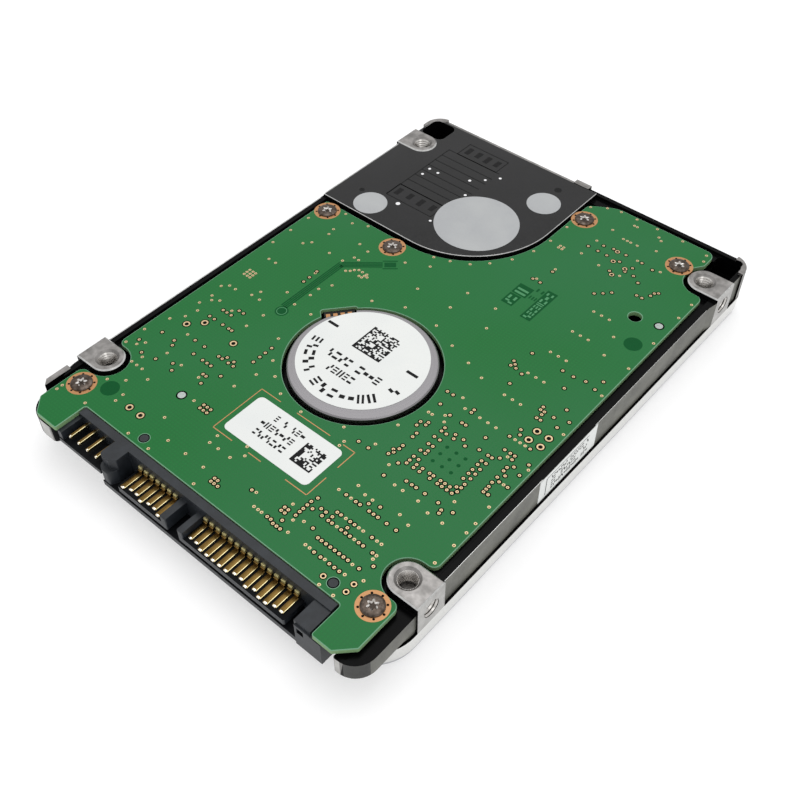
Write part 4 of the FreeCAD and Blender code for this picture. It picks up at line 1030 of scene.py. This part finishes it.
@dataclass
class Board:
    """The circuit board with its mask, plated holes, marks, screws and label.

    Attributes:
        hole: radius of a small plated hole.
        pad: radius of its pad.
        gap: radius of the dark gap round a pad.
        wide: width of a wide hole's gap and pad, as shares of its radius.
        rim: width of the pale rim of the mask.
        screw_pad: radius of the bare copper round a screw.
        pinholes: radius of the ring of pinholes in it, and of each pinhole.
        head: radius and height of a screw head.
        lobe: mean radius of the six-lobed recess and how far its lobes stand out.
        line: half the width of a copper line.
        along: left end, right end and y of each line of the label's frame along X.
        upright: x, near end and far end of each line of that frame along Y.
        bend: where the wide trace turns, and by how many degrees.
        stripe: step from one stripe of that trace to the next, and width of a stripe.
        spots: centres of the round dark spots.
        legends: left, right, near and far end, and seed, of each dark legend.
        targets: centres of the tinned aiming marks.
        pegs: centres of the housing's pegs.
    """

    line: float = 0.075
    along: tuple[Span, ...] = (
        (-8.07, -4.0, -24.83), (-0.6, 6.2, -24.83), (8.8, 11.1, -24.83),
        (-8.07, -4.0, -34.85), (-0.6, 2.0, -34.85), (6.9, 11.1, -34.85))
    upright: tuple[Span, ...] = (
        (-8.07, -34.85, -24.83), (11.1, -28.5, -24.83), (11.1, -34.85, -30.83))
    bend: Span = (-18.6, 4.2, 40.0)
    stripe: Pair = (0.37, 0.25)
    spots: tuple[Pair, ...] = ((29.6, 20.27), (-25.77, -39.83))
    legends: tuple[tuple[float, float, float, float, int], ...] = (
        (7.5, 10.3, 17.75, 20.4, 81), (7.5, 9.7, 14.8, 17.55, 82), (12.1, 14.07, 13.8, 21.9, 83))
    targets: tuple[Pair, ...] = ((30.57, 26.5), (-16.4, -33.65))
    pegs: tuple[Pair, ...] = ((-14.1, -42.9), (23.7, -42.8))
    hole: float = 0.105
    pad: float = 0.26
    gap: float = 0.43
    wide: Pair = (0.22, 0.32)
    rim: float = 0.12
    screw_pad: float = 2.38
    pinholes: Pair = (1.94, 0.19)
    head: Pair = (1.72, 0.3)
    lobe: Pair = (0.72, 0.2)

    def body(self, nodes: Nodes) -> None:
        """Recuts the board into masked faces and routed edges, with a painted highlight on a
        sloping rim.
        """
        zones = ((LAMINATE, lambda at, normal: abs(normal.z) < 0.5),)
        work = recut(nodes["circuit_board"], "board", MASK, zones)
        top = [face for face in work.bm.faces if face.normal.z > 0.9]
        rim = bmesh.ops.inset_region(work.bm, faces=top, thickness=self.rim, use_even_offset=True)
        inner = {vert for face in top for vert in face.verts}
        outer = {vert for face in rim["faces"] for vert in face.verts} - inner
        bmesh.ops.translate(work.bm, verts=list(outer), vec=(0, 0, -self.rim / 2))
        work.paint(rim["faces"], MASK_RIM_HIGHLIGHT)
        work.made("solder_mask", "circuit_board", smooth=20.0)

    def holes(self) -> None:
        """Plates every small and large hole."""
        z = BOARD_TOP + 2 * LAYER
        work = Workpiece("plated_holes")
        for y, xs in GAPPED_HOLES:
            for x in xs:
                face = work.disc((x, y), self.gap, z, MASK_GAP, 12)
                work.inset(face, self.gap - self.pad, PAD)
                work.inset(face, self.pad - self.hole, DARK, LAYER)
        for y, xs in PLAIN_HOLES:
            for x in xs:
                face = work.disc((x, y), self.pad, z, PAD, 12)
                work.inset(face, self.pad - self.hole, DARK, LAYER)
        for x, y, radius in WIDE_HOLES:
            face = work.disc((x, y), radius, z, MASK_GAP, 20)
            work.inset(face, radius * self.wide[0], PAD)
            work.inset(face, radius * self.wide[1], DARK, LAYER)
        work.made("gold_contact")

    def frame(self, work: Workpiece, z: float) -> None:
        """Lays the copper frame round the label."""
        for x0, x1, y in self.along:
            work.tile((x0, x1), (y - self.line, y + self.line), z, COPPER)
        for x, y0, y1 in self.upright:
            work.tile((x - self.line, x + self.line), (y0, y1), z, COPPER)

    def trace(self, work: Workpiece, z: float) -> None:
        """Lays the striped trace, which turns once and ends in a ring and in a fork."""
        x, y, turn = self.bend
        step, width = self.stripe
        slope = shift(x, y) @ spun(turn)
        mitre = round(math.tan(math.radians(turn / 2)), 2)
        for i in range(4):
            off = step * i - 0.69
            work.tile((x + off, x + off + width), (-9.6, y - mitre * off), z, MASK_DARK)
            work.tile((mitre * off, 7.1), (off, off + width), z, MASK_DARK, slope)
        end = work.disc((-18.1, -10.6), 1.15, z, MASK_DARK, 24)
        work.inset(end, 0.25, MASK_PALE)
        work.inset(end, 0.12, MASK_DARK)
        for low in (-1.1, 0.85):
            work.tile((7.1, 9.7), (low, low + width), z, MASK_DARK, slope)
        work.tile((7.4, 9.4), (-0.6, 0.6), z, MASK_DARK, slope)

    def legend(self, work: Workpiece, z: float) -> None:
        """Prints the dark legends, with pale marks that run up the board."""
        for x0, x1, y0, y1, seed in self.legends:
            work.tile((x0, x1), (y0, y1), z, MASK_DARK)
            line_of_marks(work, (0.3, y1 - y0 - 0.3), 0.35, x1 - x0 - 0.7, z + LAYER, seed,
                          MASK_PALE, shift(x1, y0) @ spun(90))
        line_of_marks(work, (0.0, 2.7), 0.1, 1.3, z, 84, MASK_DARK, shift(12.0, 18.2) @ spun(90))

    def marks(self) -> None:
        """Lays the frame, the wide trace, the legends, the spots and the aiming marks."""
        z = BOARD_TOP + LAYER
        work = Workpiece("board_marks")
        self.frame(work, z)
        self.trace(work, z)
        for at in self.spots:
            work.disc(at, 1.5, z, MASK_DARK, 32)
        self.legend(work, z)
        for at in self.targets:
            face = work.disc(at, 0.88, z, MASK_GAP, 28)
            work.inset(face, 0.24, TINNED)
        # Round each peg: a pale ring of painted highlight, then a dark ring of painted shade.
        for at in self.pegs:
            face = work.disc(at, 0.95, z, MASK_RIM_HIGHLIGHT, 28)
            work.inset(face, 0.1, MASK_GAP)
            work.inset(face, 0.18, HOUSING)
        for x in (20.57, 22.27, 23.93):
            for y in (-15.33, -16.93, -18.63):
                work.disc((x, y), 0.3, z, MASK_DARK, 12)
        work.made("solder_mask")

    def pads(self) -> None:
        """Bares the copper round each screw, with eight small holes."""
        z = BOARD_TOP + LAYER
        ring, radius = self.pinholes
        work = Workpiece("screw_pads")
        for x, y in BOARD_SCREWS:
            work.disc((x, y), self.screw_pad, z, COPPER, 48)
            for i in range(8):
                turn = math.radians(45 * i)
                at = (x + ring * math.cos(turn), y + ring * math.sin(turn))
                work.disc(at, radius, z + LAYER, DARK, 10)
        work.made("gold_contact")

    def screws(self) -> None:
        """Makes the board screws, with six-lobed recesses."""
        work = Workpiece("board_screw_heads")
        for x, y in BOARD_SCREWS:
            screw_head(work, shift(x, y, BOARD_TOP + LAYER), self.head, self.lobe)
        work.made("screw_steel", "board_screws", smooth=40.0)

    def label(self) -> None:
        """Prints the label: a code square and three lines."""
        work = Workpiece("board_label_print")
        z = BOARD_TOP + LABEL_THICK + LAYER
        code_square(work, (4.7, -31.9), 4.0, 14, z, 5)
        for y, width, seed in ((-28.2, 5.6, 1), (-30.05, 7.6, 2), (-31.9, 6.4, 3)):
            line_of_marks(work, (3.4 - width, 3.4), y, 1.15, z, seed)
        work.made("sticker_white")

    def build(self, nodes: Nodes) -> None:
        """Builds and dresses the board."""
        self.body(nodes)
        self.holes()
        self.marks()
        self.pads()
        self.screws()
        self.label()
        dress(nodes, FILM, "board_label")
        dress(nodes, RESIN, "controller_chip", "memory_chips", "motor_driver_chip")
        dress(nodes, RUBBER, "board_passives")


def screw_head(work: Workpiece, frame: Matrix, head: Pair, lobe: Pair) -> None:
    """Makes a low screw head with a six-lobed recess.

    Args:
        work: the mesh that it joins.
        frame: where its underside stands.
        head: its radius and height.
        lobe: mean radius of the recess, and how far its lobes stand out.
    """
    radius, height = head
    slope, sunk = 0.17, 0.75       # run of the recess wall, and its share of the height
    known = set(work.bm.faces)
    bmesh.ops.create_cone(work.bm, cap_ends=True, cap_tris=False, segments=48, radius1=radius,
                          radius2=radius, depth=height * 0.5,
                          matrix=shift(0, 0, height * 0.25))
    work.bm.normal_update()
    top = next(f for f in work.bm.faces if f not in known and f.normal.z > 0.9)
    rounded = ((0.12, height * 0.26), (0.3, height * 0.24))
    flat = radius - sum(width for width, _ in rounded) - lobe[0]
    for width, rise in (*rounded, (flat, 0.0)):
        bmesh.ops.inset_region(work.bm, faces=[top], thickness=width, depth=rise,
                               use_even_offset=True)
    for vert in top.verts:
        turn = math.atan2(vert.co.y, vert.co.x)
        reach = lobe[0] + lobe[1] * math.cos(6 * turn)
        vert.co.x, vert.co.y = reach * math.cos(turn), reach * math.sin(turn)
    sides = bmesh.ops.inset_region(work.bm, faces=[top], thickness=slope, depth=-height * sunk)
    faces = [f for f in work.bm.faces if f not in known]
    bmesh.ops.recalc_face_normals(work.bm, faces=faces)
    points = list({v for f in faces for v in f.verts})
    bmesh.ops.transform(work.bm, matrix=frame, verts=points)
    work.paint(faces, SCREW)
    # Painted highlight on the recess walls; painted shade at its foot.
    work.paint(sides["faces"], RECESS_GLINT)
    work.paint([top], RECESS_SHADE)


# ---- prints ----------------------------------------------------------------
def code_square(
    work: Workpiece,
    corner: Pair,
    size: float,
    cells: int,
    z: float,
    seed: int,
) -> None:
    """Prints a square of chance cells that stands for a machine-read code.

    Args:
        work: the mesh that it joins.
        corner: its lowest x and y.
        size: length of its side.
        cells: number of cells along a side.
        z: its height.
        seed: start of the chance pattern.
    """
    chance = random.Random(seed)
    step = size / cells
    for row in range(cells):
        y = corner[1] + row * step
        start = 0
        while start < cells:
            end = start + chance.choice((1, 1, 1, 2))
            if start == 0 or row == 0 or chance.random() < 0.5:
                x = (corner[0] + start * step, corner[0] + min(end, cells) * step)
                work.tile(x, (y, y + step), z, INK)
            start = end


def mark_shapes(chance: random.Random, width: float, height: float) -> list[tuple[float, ...]]:
    """Picks one plain symbol, as (x0, x1, y0, y1) boxes from its corner."""
    fifth, half = height / 5, height / 2
    kinds = (
        [(0, width, 0, fifth), (0, width, 2 * fifth, 3 * fifth), (0, width, 4 * fifth, height)],
        [(0, width, 0, fifth * 1.4), (0, width, height - fifth * 1.4, height)],
        [(0, width * 0.34, 0, height), (width * 0.66, width, 0, height)],
        [(0, width / 2, half, height), (width / 2, width, 0, half)],
        [(0, width / 2, 0, half), (width / 2, width, half, height)],
        [(0, width, height * 0.3, height * 0.7)],
    )
    return chance.choice(kinds)


def line_of_marks(
    work: Workpiece,
    x: Pair,
    y: float,
    height: float,
    z: float,
    seed: int,
    finish: Finish | None = None,
    frame: Matrix | None = None,
) -> None:
    """Prints a line of abstract marks that stands for small type.

    Args:
        work: the mesh that it joins.
        x: left and right end.
        y: its lower edge.
        height: height of a mark.
        z: its height above the frame.
        seed: start of the chance pattern.
        finish: its ink, black unless given.
        frame: where its frame stands.
    """
    chance = random.Random(seed)
    at = x[0]
    while at < x[1] - height * 0.3:
        width = height * chance.choice((0.5, 0.6, 0.65))
        if chance.random() > 0.12:
            for x0, x1, y0, y1 in mark_shapes(chance, width, height):
                work.tile((at + x0, at + x1), (y + y0, y + y1), z, finish or INK, frame)
        at += width + height * 0.2


def arc_of_marks(
    work: Workpiece,
    centre: Pair,
    radius: float,
    span: Pair,
    height: float,
    z: float,
    seed: int,
) -> None:
    """Prints abstract marks round an arc, with their feet towards its centre.

    Args:
        work: the mesh that it joins.
        centre: middle of the arc.
        radius: radius at the feet of the marks.
        span: first and last direction, in degrees.
        height: height of a mark.
        z: its height.
        seed: start of the chance pattern.
    """
    chance = random.Random(seed)
    turn = span[0]
    while turn < span[1]:
        width = height * chance.choice((0.5, 0.6, 0.7))
        foot = shift(*centre) @ spun(turn - 90) @ shift(-width / 2, radius)
        if chance.random() > 0.14:
            for x0, x1, y0, y1 in mark_shapes(chance, width, height):
                work.tile((x0, x1), (y0, y1), z, INK, foot)
        turn += math.degrees((width + height * 0.22) / radius)


# ---- spindle side ----------------------------------------------------------
@dataclass
class MotorFace:
    """The turned motor ring, its round label and the pads of its flat cable.

    Attributes:
        centre: middle of the label.
        label_top: top of the label.
        pad_floor: height over which the flat cable is bare copper.
    """

    centre: Pair = (-0.4, -10.35)
    label_top: float = 9.46
    pad_floor: float = 8.46

    def print_label(self) -> None:
        """Prints the round label: a code square, two lines, and marks round the rim."""
        z = self.label_top + LAYER
        work = Workpiece("motor_label_print")
        code_square(work, (-3.7, -9.4), 5.7, 20, z, 11)
        line_of_marks(work, (-5.6, 4.6), -13.3, 1.6, z, 21)
        line_of_marks(work, (-3.4, 2.3), -15.7, 1.4, z, 22)
        arc_of_marks(work, self.centre, 7.6, (190.0, 352.0), 1.8, z, 23)
        for x0, x1, y in ((-10.3, -8.2, -7.6), (6.5, 8.7, -7.9)):
            work.tile((x0, x1), (y - 0.27, y + 0.27), z, INK)
        work.made("sticker_white")

    def build(self, nodes: Nodes) -> None:
        """Builds and dresses what shows through the hole in the board."""
        dress(nodes, TURNED, "motor_bracket", "bearing_sleeve", "thrust_plate")
        dress(nodes, FILM, "motor_label")
        self.print_label()
        zones = ((COPPER, lambda at, normal: at.z > self.pad_floor),)
        work = recut(nodes["motor_flex"], "motor_cable_pads", RUBBER, zones)
        work.made("polyimide", "motor_flex")
        dress(nodes, SHEETS, "stator_core")
        dress(nodes, WIRE, "stator_coils")


# ---- plug ------------------------------------------------------------------
@dataclass
class Plug:
    """The serial plug: housing, contacts and jumper pins.

    Attributes:
        rows: first x, number of contacts and the long ones, for each row.
        fronts: front end of a long and of a short contact.
        flat: bottom and top of a contact.
        bay_floor: height under which an upward face is the floor of a bay.
        back: where the contacts and the pins enter the housing.
        shoulder: half width, front, foot, top of each of the two steps of a shoulder.
        pin: first x, step, half width and front of the jumper pins.
        pin_flat: bottom and top of a pin.
    """

    rows: tuple[tuple[float, int, tuple[int, ...]], ...] = (
        (-11.5, 7, (0, 3, 6)), (2.47, 15, (2, 3, 4, 5, 6, 9, 11, 12)))
    fronts: Pair = (-49.8, -49.35)
    flat: Pair = (6.1, 6.3)
    bay_floor: float = 6.6
    back: Pair = (-45.6, -45.4)
    shoulder: tuple[tuple[float, float, float, float], ...] = (
        (0.4, -46.5, 6.25, 6.9), (0.36, -46.3, 6.9, 7.5))
    pin: tuple[float, float, float, float] = (-23.8, 2.0, 0.25, -49.3)
    pin_flat: Pair = (7.2, 7.68)

    def strip(self, work: Workpiece, x: Pair, y: Pair, z: Pair) -> None:
        """Adds one gold strip: a brown flat, with a painted highlight along one edge and on its
        nose.

        Args:
            work: the mesh that it joins.
            x: its left and right side.
            y: its front and back end.
            z: its underside and top.
        """
        proud = 0.02
        work.block((x[0], y[0], z[0]), (x[1], y[1], z[1]), GOLD, 0.03)
        work.block((x[1] - 0.13, y[0] + 0.05, z[0] + proud), (x[1] + 0.01, y[1], z[1] + 0.014),
                   GOLD_EDGE_HIGHLIGHT, 0.04)
        work.block((x[0] + 0.1, y[0] - 0.06, z[0] + proud),
                   (x[1] - 0.1, y[0] + 0.34, z[1] + proud), NOSE, 0.1)

    def contacts(self) -> None:
        """Makes the two rows of contacts and their dulled shoulders."""
        half = CONTACT_WIDTH / 2
        for name, (start, count, long_ones) in zip(("signal", "power"), self.rows):
            work = Workpiece(name + "_contact_strips")
            for i in range(count):
                x = start + PITCH * i
                front = self.fronts[0 if i in long_ones else 1]
                self.strip(work, (x - half, x + half), (front, self.back[0]), self.flat)
                for finish, (side, y, foot, top) in zip((GOLD, GOLD_DULL), self.shoulder):
                    work.block((x - side, y, foot), (x + side, -45.98, top), finish, 0.03)
            work.made("gold_contact", name + "_contacts", smooth=60.0)

    def pins(self) -> None:
        """Makes the four square jumper pins, each with a rounded nose."""
        work = Workpiece("jumper_pin_set")
        start, step, half, front = self.pin
        for i in range(4):
            x = start + step * i
            self.strip(work, (x - half, x + half), (front, self.back[1]), self.pin_flat)
        work.made("gold_contact", "jumper_pins", smooth=60.0)

    def housing(self, nodes: Nodes) -> None:
        """Recuts the housing into its outer faces and the floors of its bays, which get painted
        shade.
        """
        zones = ((HOUSING_SHADE, lambda at, normal: normal.z > 0.9 and at.z < self.bay_floor),)
        work = recut(nodes["sata_housing"], "plug_housing", HOUSING, zones)
        work.made("housing_plastic", "sata_housing")

    def build(self, nodes: Nodes) -> None:
        """Builds and dresses the plug."""
        self.housing(nodes)
        self.contacts()
        self.pins()


# ---- stickers --------------------------------------------------------------
@dataclass
class Stickers:
    """The seals on the plate, the label on the rail and the large one on the cover.

    Attributes:
        side_face: outer face of the rail's label.
        side_frame: near end, far end, foot and top of the frame printed on it.
        rules: y of each long rule on the cover's label.
        rule: half the length of such a rule, and its width.
        bars: y of each row of bars, and where the rows start and end along X.
        bar: height of a bar.
    """

    side_face: float = 34.56
    side_frame: tuple[float, float, float, float] = (-10.0, 0.8, 4.2, 8.0)
    rules: tuple[float, ...] = (-31.5, -12.0, 8.0, 33.5)
    rule: Pair = (24.5, 0.3)
    bars: tuple[Pair, Pair] = ((-17.5, -26.0), (-23.0, 14.0))
    bar: float = 4.0

    def side_print(self) -> None:
        """Prints the rail's label: two frame lines and three lines of marks."""
        work = Workpiece("side_label_print")
        stand = shift(self.side_face + LAYER, 0) @ Matrix(
            ((0, 0, 1, 0), (1, 0, 0, 0), (0, 1, 0, 0), (0, 0, 0, 1)))
        near, far, low, top = self.side_frame
        work.tile((near, near + 0.16), (low, top), 0.0, INK, stand)
        work.tile((near + 0.16, far), (top - 0.12, top), 0.0, INK, stand)
        for z, seed in ((6.7, 31), (5.6, 32), (4.5, 33)):
            line_of_marks(work, (near + 1.4, far - 0.2), z, 0.8, 0.0, seed, INK, stand)
        work.made("sticker_white")

    def cover_print(self) -> None:
        """Prints the cover's label: long rules, rows of bars and lines of marks."""
        work = Workpiece("cover_label_print")
        down = shift(0, 0, LABEL_THICK - LAYER) @ spun(180, "Y")
        for y in self.rules:
            work.tile((-self.rule[0], self.rule[0]), (y, y + self.rule[1]), 0.0, INK, down)
        for i in range(6):
            line_of_marks(work, (-23.5, 12.0 - 4 * (i % 3)), 28.5 - 3.2 * i, 1.6, 0.0, 40 + i,
                          None, down)
        for i in range(5):
            line_of_marks(work, (-23.5, 20.0 - 3 * (i % 2)), 4.0 - 3.0 * i, 1.3, 0.0, 50 + i,
                          INK_GREY, down)
        chance = random.Random(61)
        for y in self.bars[0]:
            at, end = self.bars[1]
            while at < end:
                width = chance.choice((0.25, 0.25, 0.5, 0.75))
                work.tile((at, at + width), (y, y + self.bar), 0.0, INK, down)
                at += width + chance.choice((0.25, 0.5))
        for i in range(4):
            line_of_marks(work, (-23.0, 10.0), -19.7 - 2.9 * i, 1.0, 0.0, 70 + i, None, down)
        work.made("sticker_white")

    def build(self, nodes: Nodes) -> None:
        """Builds and dresses the stickers."""
        dress(nodes, FOIL, "seal_stickers")
        dress(nodes, FILM, "side_label", "cover_label")
        self.side_print()
        self.cover_print()


# ---- cover -----------------------------------------------------------------
@dataclass
class Cover:
    """The sheet cover, its gasket and its screws.

    Attributes:
        head: radius and height of a screw head.
        lobe: mean radius of the recess and how far its lobes stand out.
        seat: height of a screw's seat in the cover.
    """

    seat: float = 0.4
    head: Pair = (1.7, 0.34)
    lobe: Pair = (0.7, 0.14)

    def build(self, nodes: Nodes) -> None:
        """Builds and dresses the cover."""
        dress(nodes, BRUSHED, "top_cover")
        dress(nodes, RUBBER, "cover_gasket")
        work = Workpiece("cover_screw_heads")
        for x, y in COVER_SCREWS:
            screw_head(work, shift(x, y, self.seat) @ spun(180, "X"), self.head, self.lobe)
        work.made("screw_steel", "cover_screws", smooth=40.0)


# ---- what moves inside -----------------------------------------------------
@dataclass
class Mechanism:
    """The discs, arms, magnets and small parts inside the drive.

    Attributes:
        wardrobe: the CAD nodes that each finish dresses.
        cable: where the flat cable starts to move, and where it moves with the arms. Not used.
    """

    wardrobe: dict[Finish, tuple[str, ...]] = field(default_factory=lambda: {
        MIRROR: ("platter_lower", "platter_upper"),
        TURNED: ("spindle_hub", "platter_spacer", "disc_clamp"),
        STEEL: ("spindle_shaft", "pivot_shaft", "pivot_bearing", "latch_pin", "yoke_posts",
                "head_suspensions"),
        SCREW: ("clamp_screws", "pivot_screw", "yoke_screws", "ramp_screw"),
        MILLED: ("arm_block",),
        NICKEL: ("lower_yoke", "upper_yoke", "lower_magnet", "upper_magnet"),
        SHEETS: ("rotor_magnet",),
        WIRE: ("voice_coil",),
        ACETAL: ("load_ramp", "desiccant_pack", "latch_lever"),
        RUBBER: ("crash_stops",),
        FELT: ("recirculation_filter", "breather_filter"),
        CERAMIC: ("head_sliders",),
        RESIN: ("preamp_chip",),
        HOUSING: ("coil_frame", "head_connector", "flex_bracket"),
        GOLD: ("connector_springs",),
    })
    cable: tuple[Span, ...] = ((7.8, 33.1, 3.4), (-3.4, 33.4, 3.4))

    def build(self, nodes: Nodes) -> None:
        """Dresses the inside, and recuts the flat cable as a piece that does not ride with the
        casing.
        """
        for finish, names in self.wardrobe.items():
            dress(nodes, finish, *names)
        work = recut(nodes["flex_cable"], "head_cable", AMBER, ())
        piece = work.made("polyimide", "flex_cable", rides=False)
        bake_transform(piece)


def main() -> None:
    """Builds the studio and each sub-assembly."""
    logging.basicConfig(level=logging.INFO, format="%(name)s %(message)s")
    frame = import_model()
    Studio().build()
    for assembly in (Casting(), Board(), MotorFace(), Plug(), Stickers(), Cover(), Mechanism()):
        assembly.build(frame["nodes"])


if __name__ == "__main__":
    main()
